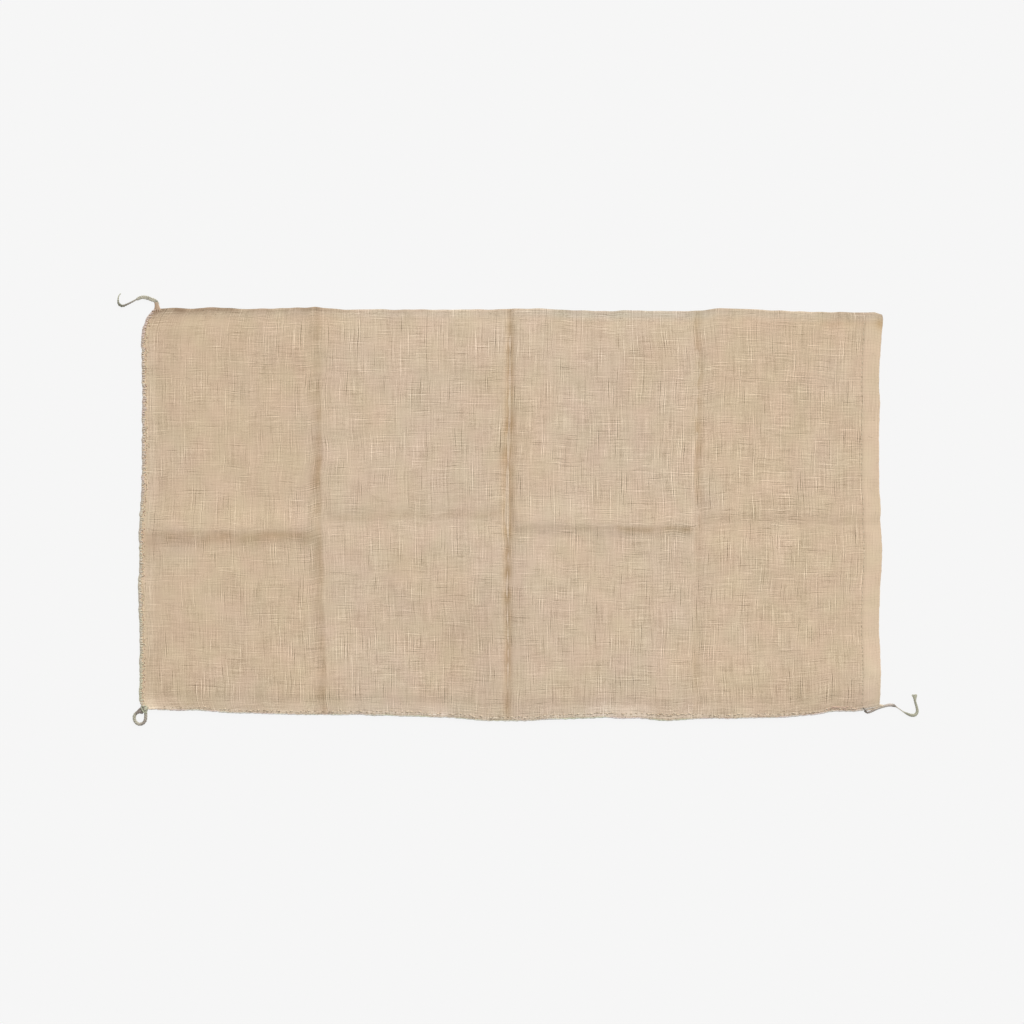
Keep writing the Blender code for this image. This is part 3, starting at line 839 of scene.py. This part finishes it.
def smooth_route(points, steps):
    """Points read from a smooth curve through the route, ends included."""
    route = np.asarray(points, float)
    held = np.vstack([2 * route[0] - route[1], route, 2 * route[-1] - route[-2]])
    found = []
    for before, start, end, after in zip(held, held[1:], held[2:], held[3:]):
        t = (np.arange(steps) / steps)[:, None]
        found.append(
            start + (end - before) * (0.5 * t) + (before * 2 - start * 5 + end * 4 - after) * (0.5 * t**2)
            + (start * 3 - before - end * 3 + after) * (0.5 * t**3)
        )
    return np.vstack(found + [held[-2][None]])


def sides_of(line):
    """Unit side and up at each point of a line."""
    tangent = np.gradient(line, axis=0)
    tangent /= np.maximum(np.linalg.norm(tangent, axis=1, keepdims=True), 1e-9)
    side = np.cross(tangent, (0.0, 0.0, 1.0))
    side[np.linalg.norm(side, axis=1) < 1e-3] = (1.0, 0.0, 0.0)
    side /= np.linalg.norm(side, axis=1, keepdims=True)
    return side, np.cross(side, tangent)


def turns_along(line, turn, count):
    """The angle of each of count strands at each point of a line, once round for each turn in mm."""
    length = np.concatenate([[0], np.cumsum(np.linalg.norm(np.diff(line, axis=0), axis=1))])
    return [length / turn * TAU + k * TAU / count for k in range(count)]


def sweep(line, radius, sides):
    """A closed tube round a line: points, quads, triangles. Radius is a number, or one for each point."""
    side, up = sides_of(line)
    angle = np.arange(sides) / sides * TAU
    reach = np.broadcast_to(np.asarray(radius, float).reshape(-1, 1, 1), (len(line), 1, 1))
    ring = np.cos(angle)[None, :, None] * side[:, None] + np.sin(angle)[None, :, None] * up[:, None]
    points = (line[:, None] + ring * reach).reshape(-1, 3)
    index = np.arange(len(points)).reshape(len(line), sides)
    start, end = len(points), len(points) + 1
    triangles = [(start, a, b) for a, b in zip(index[0], np.roll(index[0], -1))]
    triangles += [(end, b, a) for a, b in zip(index[-1], np.roll(index[-1], -1))]
    return np.vstack([points, line[0], line[-1]]), ring_faces(index), np.array(triangles)


def tubes(name, lines, material, sides=6, slot="seam_thread"):
    """One piece of many tubes, each given as points, radius, how shaded and how olive it is."""
    all_points, quads, triangles, start = [], [], [], 0
    marks = {"shade": [], "olive": []}
    for line, radius, *given in lines:
        points, faces, caps = sweep(line, radius, sides)
        points[:, 2] = np.maximum(points[:, 2], 0.02)  # pressed flat where it lies on the floor
        for mark, value in zip(marks, given):
            value = np.clip(np.broadcast_to(np.asarray(value, float), len(line)), 0, 1)
            marks[mark].append(np.concatenate([np.repeat(value, sides), value[[0, -1]]]))
        all_points.append(points)
        quads.append(faces + start)
        triangles.append(caps + start)
        start += len(points)
    mesh = build_mesh(name, np.vstack(all_points), np.vstack(quads), np.vstack(triangles))
    mark_points(mesh, marks)
    return place(name, mesh, material, slot)


def plies(line, thickness, count, turn):
    """The twisted strands of a thread round its line. Thickness is a number, or one for each point."""
    side, up = sides_of(line)
    radius = np.broadcast_to(np.asarray(thickness, float), len(line)) / 2
    strands = []
    for angle in turns_along(line, turn, count):
        offset = (np.cos(angle)[:, None] * side + np.sin(angle)[:, None] * up) * (radius * 0.46)[:, None]
        strands.append((line + offset, radius * 0.56))
    return strands


STITCH = 9.6  # the overlock's stitch length
EDGE_HEIGHT = 2.75  # the middle of the overlock's edge, between the two faces
SIDE_SEAM = (-529, 521)  # from x, to x
SIDE_STITCH = 11.0
HEM_STITCH = 7.0

# The loose thread ends: their thickness, and their routes.
END_TAIL = [
    (-525.1, 307.8, 2.8), (-525.5, 312.9, 2.3), (-529.5, 317.1, 1.9), (-535.7, 319.5, 1.9),
    (-542.3, 321.7, 1.9), (-548.7, 322.1, 1.9), (-555.6, 319.3, 1.9), (-563.2, 315.3, 1.9),
    (-570.6, 311.6, 1.9), (-577.6, 309.2, 1.9), (-582.8, 312.1, 1.9), (-584.0, 318.1, 1.9),
    (-583.0, 323.9, 1.9), (-580.1, 327.9, 1.9),
]
END_LOOP = [
    (-543.0, -292.6, 2.6), (-542.7, -298.6, 2.3), (-542.8, -304.0, 2.2), (-543.9, -309.1, 2.2),
    (-547.1, -312.7, 2.2), (-551.4, -313.9, 2.2), (-555.7, -312.7, 2.2), (-558.8, -308.9, 2.2),
    (-559.9, -304.0, 2.2), (-558.8, -299.8, 2.2), (-555.7, -296.6, 2.3), (-551.4, -295.5, 2.5),
    (-547.3, -296.5, 2.6),
]
SIDE_TAIL = [
    (527.9, -294.0, 2.4), (532.5, -296.6, 1.9), (538.5, -294.8, 1.7), (544.5, -291.8, 1.7),
    (551.0, -289.2, 1.7), (557.8, -287.0, 1.7), (564.8, -285.4, 1.7), (571.4, -286.0, 1.7),
    (577.8, -289.6, 1.7), (584.0, -294.0, 1.7), (590.6, -297.8, 1.7), (597.5, -300.5, 1.7),
    (603.5, -300.0, 1.7), (606.7, -295.2, 1.7), (605.9, -288.4, 1.7), (603.9, -281.4, 1.7),
    (602.5, -275.2, 1.7), (602.5, -270.0, 1.7),
]


def braid(line, width, thickness, turn):
    """Three strands of a flat braid round a line."""
    side, up = sides_of(line)
    strands = []
    for angle in turns_along(line, turn, 3):
        across = np.sin(angle)[:, None] * side * (width * 0.5)[:, None]
        over = np.sin(2 * angle)[:, None] * up * (width * 0.16)[:, None]
        strands.append((line + across + over, thickness / 2))
    return strands


def edge_hue(y):
    """Along the closed end the thread turns from mauve by the fold to olive by the seam."""
    return np.clip(0.50 - y / 800 + 0.16 * ripple(y, 9, 8, 140, 88), 0, 1)


def sunk(share):
    """0 along a stitch and 1 at its two ends, where it goes into the cloth."""
    return np.abs(2 * share - 1) ** 4


def wrap_strand(y, reach, lean, thick, shade):
    """One turn of thread round the edge: in over the top, round, and in under the bottom."""
    share = np.linspace(0, 1, 6)
    turn = np.linspace(0, math.pi, 6)[1:-1]
    end = -HALF_LENGTH
    top_x = end + reach - (reach - 1.3) * share
    top_z = upper_face(np.maximum(top_x, end + END_INSET), y) + 0.35
    top_z[0] -= 0.5
    low_z = LIP_BOTTOM - 0.25
    round_z = (top_z[-1] + low_z) / 2 + (top_z[-1] - low_z) / 2 * np.cos(turn)
    under_z = np.full_like(share, max(low_z, thick + 0.05))
    xs = np.concatenate([top_x, end + 1.3 - 0.75 * np.sin(turn), end + 1.3 + (reach - 2.3) * share])
    ys = np.clip(y + lean * np.linspace(1, -1, len(xs)), -HALF_WIDTH + 2, HALF_WIDTH - 2)
    line = laid(xs, ys, np.concatenate([top_z, round_z, under_z]))
    # painted shade at both ends, where the turn goes into the cloth
    shades = shade + np.concatenate([0.25 * (1 - share) ** 3, 0 * turn, 0.2 * share])
    return line, thick, shades, edge_hue(np.array([y]))[0]


def wrapped_turns(rng, low, high):
    """The turns of thread round the closed end, some of them longer and darker."""
    draw = rng.uniform
    turns = []
    y = low
    while y < high:
        reach, shade = draw(3.6, 5.0), 0.06
        if rng.random() < 0.25:
            reach, shade = draw(4.5, 7.5), draw(0.06, 0.28)
        turns.append(wrap_strand(y, reach, draw(-1.4, 2.2), draw(0.66, 1.0), shade))
        y += draw(1.3, 2.1)
    return turns


def edge_strands(low, high):
    """The two strands that hold the turns, twisted along the very edge."""
    y = np.arange(low, high, 1.1)
    strands = []
    for k in range(2):
        angle = y / STITCH * TAU + k * math.pi + 1.2 * ripple(y, 7, 14, 90, 84 + k)
        line = laid(np.full_like(y, -HALF_LENGTH), y, EDGE_HEIGHT + 1.1 * np.cos(angle))
        line[:, 0] += 1.0 + 0.5 * np.sin(angle)
        radius = np.clip(0.72 + 0.10 * ripple(y, 8, 5, 30, 90 + k), 0.5, 0.95)
        strands.append((line, radius, 0.0, edge_hue(y)))
    return strands


def end_overlock(grey, pale, rust):
    """The stitching over the closed end: thread wrapped round the edge, and the row of its stitches."""
    rng = np.random.default_rng(81)
    low, high = -HALF_WIDTH + 3.0, HALF_WIDTH - 2.0
    lines = wrapped_turns(rng, low, high) + edge_strands(low, high)
    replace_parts(tubes("end_overlock", lines, grey), "end_seam")
    light, dark = needle_row(rng, low + 6, high - 8)
    tubes("overlock_stitches", light, pale)
    tubes("overlock_roots", dark, rust)


def needle_row(rng, low, high):
    """The row inside the wrapped edge: flecks of pale thread, and darker ones with painted shade where it
    dives.
    """
    draw = rng.uniform
    light, dark = [], []
    y = low
    while y < high:
        reach = 6.6 + 0.9 * math.sin(y / 37) + draw(-1.3, 1.6)
        if rng.random() < 0.75:
            length, sway, thick = draw(1.6, 4.5), draw(-2.0, 2.0), draw(0.5, 0.8)
            light.append(end_run(y, length, reach, sway, thick, 0.0))
        if rng.random() < 0.7:
            at, thick, length = y - draw(1, 3), draw(0.5, 0.85), draw(1.4, 3.4)
            aside, sway = draw(-1.5, 1), draw(-1.6, 1.6)
            shade = draw(0.0, 0.2) + 0.15 * (y > 0)
            dark.append(end_run(at, length, reach + aside, sway, thick, shade, 0.1))
        if rng.random() < 0.3:
            aside, sway, shade = draw(1, 4), draw(-2.5, 2.5), draw(0, 0.7)
            light.append(end_run(y + 2, 2.0, reach + aside, sway, 0.45, shade))
        y += STITCH * draw(0.30, 0.75)
    return light, dark


def end_run(start, length, reach, sway, thick, shade, olive=0.6):
    """A short run of thread lying on top beside the closed end, its ends sunk."""
    share = np.linspace(0, 1, 7)
    ys = np.clip(start + length * share, -HALF_WIDTH + 3, HALF_WIDTH - 3)
    xs = -HALF_LENGTH + reach + sway * (share - 0.5)
    line = laid(xs, ys, upper_face(xs, ys) + 0.15 - 0.7 * sunk(share))
    # painted shade where the run's ends sink into the cloth
    return line, thick, np.maximum(0.7 * sunk(share), shade), olive


def strand_between(start, end, bend, *looks):
    """A short strand from start to end, bowed by bend at its middle; looks are its radius and marks."""
    start, end = np.array(start, float), np.array(end, float)
    return smooth_route([start, (start + end) / 2 + bend, end], 5), *looks


ROOT_STARTS = [(-533.5, 297.0), (-529.5, 294.5), (-525.0, 296.0), (-520.5, 297.5), (-515.5, 301.0)]


def root_of_tail():
    """Threads drawn together where the end seam's tail leaves the corner by the fold."""
    x, y, _ = END_TAIL[0]
    neck_x, neck_y, _ = END_TAIL[2]
    strands = []
    for k, (start_x, start_y) in enumerate(ROOT_STARTS):
        aside = (k - 2) * 1.25
        route = [
            (start_x, start_y, 3.4), (x + 1.9 * aside, y - 5.0, 4.5 - 0.15 * abs(aside)),
            (x + aside - 0.6, y + 0.5, 3.4), (neck_x + 2.5 + 0.7 * aside, neck_y - 2.5, 2.4),
        ]
        line = smooth_route(route, 5)
        strands.append((line, np.linspace(0.9, 1.3, len(line)), 0.40 - 0.09 * k, 0.4))
    return strands


# The side seam's row of stitches: x of a station, from one stitch to the next there.
SIDE_PITCHES = [
    (-529, 13), (-200, 12), (0, 10), (110, 8), (195, 8), (205, 5), (262, 5), (275, 11), (470, 9), (521, 7),
]
# How far inside the edge that row runs, and the hue of the thread on the edge: 0 is mauve, 1 is olive.
SIDE_ROW = [
    (-529, 5.8), (-100, 6.5), (60, 7.0), (90, 8.2), (150, 7.6), (205, 9.0), (228, 10.0), (262, 9.8),
    (280, 7.5), (400, 6.0), (470, 5.0), (521, 4.6),
]
SIDE_HUES = [
    (-529, 0.5), (-300, 0.4), (-120, 0.6), (60, 0.5), (85, 1.0), (135, 0.9), (150, 0.1), (205, 0.2),
    (222, 1.0), (262, 0.9), (275, 0.5), (470, 0.3), (521, 0.5),
]


def side_run(face, at, length, inside, sway, thick, shade):
    """A short run of thread along the side, on the outer face of one layer."""
    share = np.linspace(0, 1, 6)
    xs = at + length * share
    ys = -HALF_WIDTH + inside + sway * (share - 0.5)
    outward = 1 if face is upper_face else -1
    height = np.maximum(face(xs, ys) + outward * (0.15 - 0.8 * sunk(share)), thick + 0.05)
    # painted shade where the run's ends sink into the cloth
    return laid(xs, ys, height), thick, np.maximum(0.35 * sunk(share), shade), 0.3


def side_chain(pale_grey):
    """The two strands of thread along the very edge of the side."""
    x = np.arange(SIDE_SEAM[0] - 6, SIDE_SEAM[1] + 30, 2.0)
    turn = x / SIDE_STITCH * TAU + 0.7 * ripple(x, 7, 20, 120, 95)
    olive = np.clip(along(SIDE_HUES, x) + 0.25 * ripple(x, 8, 20, 160, 94), 0, 1)
    radius = np.clip(0.80 + 0.16 * ripple(x, 9, 6, 60, 93), 0.55, 1.1)
    lines = []
    for angle in (turn, turn + math.pi):
        line = laid(x, np.full_like(x, -HALF_WIDTH), SEAM_TOP + 0.2 + 0.5 * np.sin(angle))
        line[:, 1] += 1.0 + 0.3 * np.cos(angle)
        lines.append((line, radius, 0.0, olive))
    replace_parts(tubes("side_chain", lines, pale_grey), "side_seam")


def side_stitches(pale, red):
    """The row that closes the side: short stitches darkened with painted shade, pale flecks between them,
    legs to the edge.
    """
    rng = np.random.default_rng(82)
    draw = rng.uniform
    lines = []
    at = SIDE_SEAM[0] + 6
    while at < SIDE_SEAM[1] - 8:
        pitch = along(SIDE_PITCHES, at)
        inside = along(SIDE_ROW, at) + draw(-0.9, 0.7)
        dark = draw(0.0, 0.75)
        for face in (upper_face, lower_face):
            length = draw(1.8, 3.2) if pitch < 7 else draw(2.2, 4.4)
            sway, thick = draw(-0.5, 0.5), draw(0.45, 0.65)
            lines.append(side_run(face, at, length, inside, sway, thick, dark))
        if rng.random() < 0.65:
            fleck = at + draw(0.3, 0.8) * pitch
            aside, length = draw(-1.6, 1.8), draw(1.6, 4.2)
            lines.append(side_run(upper_face, fleck, length, inside + aside, draw(-1, 1), 0.95, 0.0))
        if rng.random() < 0.3:
            lines.append(side_run(upper_face, at, 1.2, 3.4, draw(-3, 3), 0.5, 0.35))
        at += pitch * draw(0.75, 1.3)
    tubes("side_stitches", lines, pale)
    tubes("side_stitches_at_mouth", [run_near_mouth(draw) for _ in range(MOUTH_RUNS)], red)


MOUTH_RUNS = 30


def run_near_mouth(draw):
    """One of the reddish runs that crowd the side's last few centimetres."""
    at, inside = draw(468, 512), draw(1.5, 8.5)
    length, thick = draw(3, 13), draw(0.35, 0.6)
    sway, shade = draw(-0.8, 0.8), draw(0, 0.15)
    return side_run(upper_face, at, length, inside, sway, thick, shade)


def hem_stitches(material):
    """The row that holds the mouth's hem, on both layers' outer faces."""
    rng = np.random.default_rng(83)
    draw = rng.uniform
    lines = []
    share = np.linspace(0, 1, 6)
    for face, outward in ((upper_face, 1), (lower_face, -1)):
        at = -HALF_WIDTH + 12
        while at < HALF_WIDTH - 14:
            ys = at + HEM_STITCH * draw(0.55, 0.75) * share
            xs = HALF_LENGTH - HEM_WIDTH - 0.5 + draw(-0.5, 0.5) + 0 * share
            height = np.maximum(face(xs, ys) + outward * (0.05 - 0.7 * sunk(share)), 0.55)
            lines.append((laid(xs, ys, height), draw(0.45, 0.6), draw(0.0, 0.5), 0.5))
            at += HEM_STITCH * draw(0.92, 1.1)
    tubes("hem_stitches", lines, material, 5)


def declare_cord(piece, node):
    """Hides the node of the solids that this loose cord stands for."""
    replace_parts(piece, node)


# The end seam's tail, by share of its length: a braided chain first, then one bare thread.
CHAIN_TO, BARE_FROM = 0.47, 0.40
CHAIN_WIDTH = [(0, 3.0), (0.1, 3.9), (0.25, 4.2), (0.4, 3.4), (0.47, 2.0)]
BARE_THICKNESS = [
    (0.40, 2.6), (0.54, 2.9), (0.62, 3.2), (0.69, 4.2), (0.75, 4.4), (0.80, 3.4), (0.86, 2.5),
    (0.92, 1.9), (1.0, 1.5),
]
BARE_SHADE = [(0.40, 0.0), (0.50, 0.40), (0.60, 0.80), (0.78, 0.85), (0.84, 0.40), (0.90, 0.0)]
BARE_HUE = [(0.40, 0.5), (0.60, 0.2), (0.72, 0.8)]


def tail_of_end_seam(dull, rust):
    """A short length of the stitch chain, then one bare twisted thread that curls up at its end."""
    line = smooth_route(END_TAIL, 10)
    share = np.linspace(0, 1, len(line))
    chain_to, bare_from = int(len(line) * CHAIN_TO), int(len(line) * BARE_FROM)
    chain, bare = line[:chain_to], share[bare_from:]
    x, y = chain[:, 0], chain[:, 1]
    width = along(CHAIN_WIDTH, share[:chain_to]) + 0.35 * waves(x, y, 9, 3, 12, 97)
    dark = np.clip(0.05 + 0.3 * waves(x, y, 9, 4, 14, 98), 0, 0.6)
    lines = [(*strand, dark, 0.55) for strand in braid(chain, width, 2.3, 8.5)]
    shade, hue = along(BARE_SHADE, bare), along(BARE_HUE, bare)
    strands = plies(line[bare_from:], along(BARE_THICKNESS, bare), 2, 7.0)
    lines += [(*strand, shade, hue) for strand in strands]
    piece = tubes("tail_of_end_seam", lines, dull, 7)
    root = tubes("root_of_end_tail", root_of_tail(), rust, 7)
    declare_cord(piece, "end_tail")


LOOP_SHOWN = 5.1  # the ring's twisted strands, over their fluff
# Along the ring, by share of its length: how shaded it is, and how olive.
LOOP_SHADE = [
    (0, 0.20), (0.12, 0.45), (0.3, 0.65), (0.42, 0.30), (0.55, 0.25), (0.75, 0.22), (0.82, 0.55), (1.0, 0.9),
]
LOOP_HUE = [(0, 0.7), (0.15, 0.3), (0.35, 0.1), (0.5, 0.55), (0.75, 0.65), (0.85, 0.1), (1.0, 0.0)]
# Single strands: start, end, bow at the middle, radius, how shaded and how olive.
LOOP_KNOT = [
    ((-545.0, -285.0, 3.6), (-542.4, -297.5, 4.2), (1.2, 0.4, 0.8), 1.2, 0.10, 1.0),
    ((-549.0, -286.0, 3.6), (-544.0, -297.0, 4.6), (-1.2, -0.6, 0.8), 1.3, 0.20, 1.0),
    ((-541.0, -286.0, 3.6), (-546.5, -294.5, 4.8), (0.8, -0.8, 1.0), 1.2, 0.0, 1.0),
    ((-539.0, -288.0, 3.4), (-542.8, -297.0, 3.4), (0.2, -0.5, 0.4), 1.3, 0.45, 0.8),
    ((-547.5, -288.5, 3.2), (-556.8, -298.4, 3.2), (-0.6, 0.6, 0.3), 1.7, 0.85, 0.0),
    ((-547.0, -292.5, 3.0), (-555.4, -296.8, 3.2), (-0.2, 0.4, 0.5), 1.4, 0.70, 0.0),
    ((-547.3, -290.0, 5.0), (-541.4, -293.5, 4.8), (0.2, -1.2, 0.6), 0.9, 0.95, 0.4),
    ((-548.5, -287.5, 4.4), (-542.9, -287.0, 4.8), (0.0, -0.8, 0.8), 0.9, 0.75, 0.8),
]
BESIDE_SIDE_TAIL = [
    ((522.0, -288.5, 3.2), (553.0, -285.4, 2.4), (0.0, -0.6, 0.3), 1.5, 0.0, 0.3),
    ((527.0, -291.0, 3.0), (556.0, -286.0, 2.2), (0.0, -0.2, 0.3), 1.4, 0.05, 0.3),
    ((529.0, -293.0, 2.6), (551.0, -289.2, 2.2), (0.0, -0.3, 0.2), 1.2, 0.0, 0.2),
]
OVER_SIDE_TAIL = [
    ((521.0, -290.5, 4.2), (552.0, -287.0, 2.8), (0.0, -0.6, 0.3), 0.7, 0.05, 0.2),
    ((540.0, -291.2, 2.6), (566.0, -284.0, 2.2), (0.0, 0.9, 0.1), 0.6, 0.20, 0.1),
    ((524.5, -286.5, 4.6), (531.0, -294.5, 3.4), (-0.6, -0.4, 0.3), 0.9, 0.90, 0.2),
]


def loop_of_end_seam(dull):
    """The ring of thread at the other end of the same row, knotted to the sack's corner."""
    line = smooth_route(END_LOOP, 10)
    share = np.linspace(0, 1, len(line))
    shade, olive = along(LOOP_SHADE, share), along(LOOP_HUE, share)
    lines = [(*strand, shade, olive) for strand in plies(line, LOOP_SHOWN, 3, 11.0)]
    piece = tubes("loop_of_end_seam", lines, dull, 7)
    knot = tubes("knot_of_loop", [strand_between(*row) for row in LOOP_KNOT], dull, 7)
    declare_cord(piece, "end_loop")


# Along the side seam's tail, by the number of a point of its route.
SIDE_TAIL_THICKNESS = [
    (0, 2.8), (2, 3.6), (4, 3.9), (5, 4.3), (6, 4.9), (7, 4.9), (7.6, 2.2), (8, 1.6), (9, 1.6), (9.6, 2.6),
    (10, 3.6), (11, 4.9), (12, 5.0), (13, 4.6), (14, 4.0), (15, 3.6), (16, 3.6), (17, 3.2),
]
SIDE_TAIL_SHADE = [
    (0, 0.95), (0.8, 0.95), (1.8, 0.4), (4, 0.1), (6.6, 0.1), (7.2, 0.9), (7.7, 0.0), (9.4, 0.0),
    (10.2, 0.5), (12, 0.2), (15, 0.4), (17, 0.1),
]
SIDE_TAIL_HUE = [(0, 0.1), (3, 0.1), (4.5, 0.25), (6, 0.0), (8, 0.2), (10, 0.8)]
FRAY_ASIDE = (-3.6, -3.1, -2.5, -1.4, 0.2, 1.6, 2.8, 3.4, 3.8)  # how far each tip parts from the end


def fray_of_side_tail():
    """The tail's parted tip."""
    rng = np.random.default_rng(86)
    parting, tip = np.array(SIDE_TAIL[-3]), np.array(SIDE_TAIL[-1])
    strands = []
    for aside in FRAY_ASIDE:
        start = parting + (0.25 * aside, rng.uniform(-3, 0), 0.3)
        end = tip + (aside, rng.uniform(-1.0, 1.0), -0.4)
        looks = rng.uniform(0.55, 0.8), rng.uniform(0.0, 0.35), 0.7
        strands.append(strand_between(start, end, (-0.25 * aside, 0.0, 0.2), *looks))
    return strands


def tail_of_side_seam(dull, pale):
    """The side seam's thread, thin in the middle of its run, with a frayed end."""
    line = smooth_route(SIDE_TAIL, 10)
    at = np.linspace(0, len(SIDE_TAIL) - 1, len(line))
    shade, olive = along(SIDE_TAIL_SHADE, at), along(SIDE_TAIL_HUE, at)
    strands = plies(line, along(SIDE_TAIL_THICKNESS, at), 3, 8.0)
    piece = tubes("tail_of_side_seam", [(*strand, shade, olive) for strand in strands], dull, 7)
    fray = tubes("fray_of_side_tail", fray_of_side_tail(), dull, 5)
    beside = tubes("strands_by_side_tail", [strand_between(*row) for row in BESIDE_SIDE_TAIL], pale)
    over = tubes("twist_by_side_tail", [strand_between(*row) for row in OVER_SIDE_TAIL], dull)
    declare_cord(piece, "side_tail")


FIBRES = 1300


def stray_fibres(material):
    """Short loose fibres of jute standing off the cloth, most of them near its edges."""
    rng = np.random.default_rng(87)
    draw = rng.uniform
    lines = []
    share = np.linspace(0, 1, 5)
    for _ in range(FIBRES):
        x = draw(-HALF_LENGTH + 6, HALF_LENGTH - 3)
        y = draw(-HALF_WIDTH + 4, HALF_WIDTH - 1)
        if rng.random() < 0.45:
            y = math.copysign(HALF_WIDTH - draw(2, 12), y)
        length, turn, curl = draw(3, 11), rng.random() * TAU, rng.normal(0, 0.9)
        angle = turn + curl * share
        xs = np.clip(x + np.cumsum(np.cos(angle)) * length / 5, -HALF_LENGTH + 4, HALF_LENGTH - 1)
        ys = np.clip(y + np.cumsum(np.sin(angle)) * length / 5, -HALF_WIDTH + 3, HALF_WIDTH - 0.5)
        rise = draw(0.2, 2.2) * np.sin(share * math.pi * draw(0.5, 1.0))
        line = laid(xs, ys, upper_face(xs, ys) + rise - 0.1)
        lines.append((line, draw(0.05, 0.11), draw(0, 0.3), 0.5))
    tubes("stray_fibres", lines, material, 3, "jute_cloth")


def main():
    set_camera()
    grey = thread_material("seam_thread", (0.56, 0.475, 0.395, 1), (0.97, 0.85, 0.735, 1))
    dull = thread_material("tail_thread", (0.34, 0.31, 0.26, 1), (0.78, 0.72, 0.62, 1), DARK_TINT)
    pale = thread_material("pale_thread", (0.50, 0.41, 0.30, 1), (0.93, 0.80, 0.63, 1))
    pale_grey = thread_material("edge_thread", (0.50, 0.455, 0.40, 1), (0.80, 0.745, 0.67, 1))
    rust = thread_material("rust_thread", (0.42, 0.30, 0.215, 1), (0.76, 0.57, 0.43, 1))
    red = thread_material("red_thread", (0.58, 0.41, 0.32, 1), (0.88, 0.67, 0.54, 1))
    tail_of_end_seam(dull, rust)
    loop_of_end_seam(dull)
    tail_of_side_seam(dull, pale)
    cloth_piece()
    end_overlock(grey, pale, rust)
    side_chain(pale_grey)
    side_stitches(pale, red)
    hem_stitches(pale)
    stray_fibres(pale)
    set_light()
    lay_floor()


main()
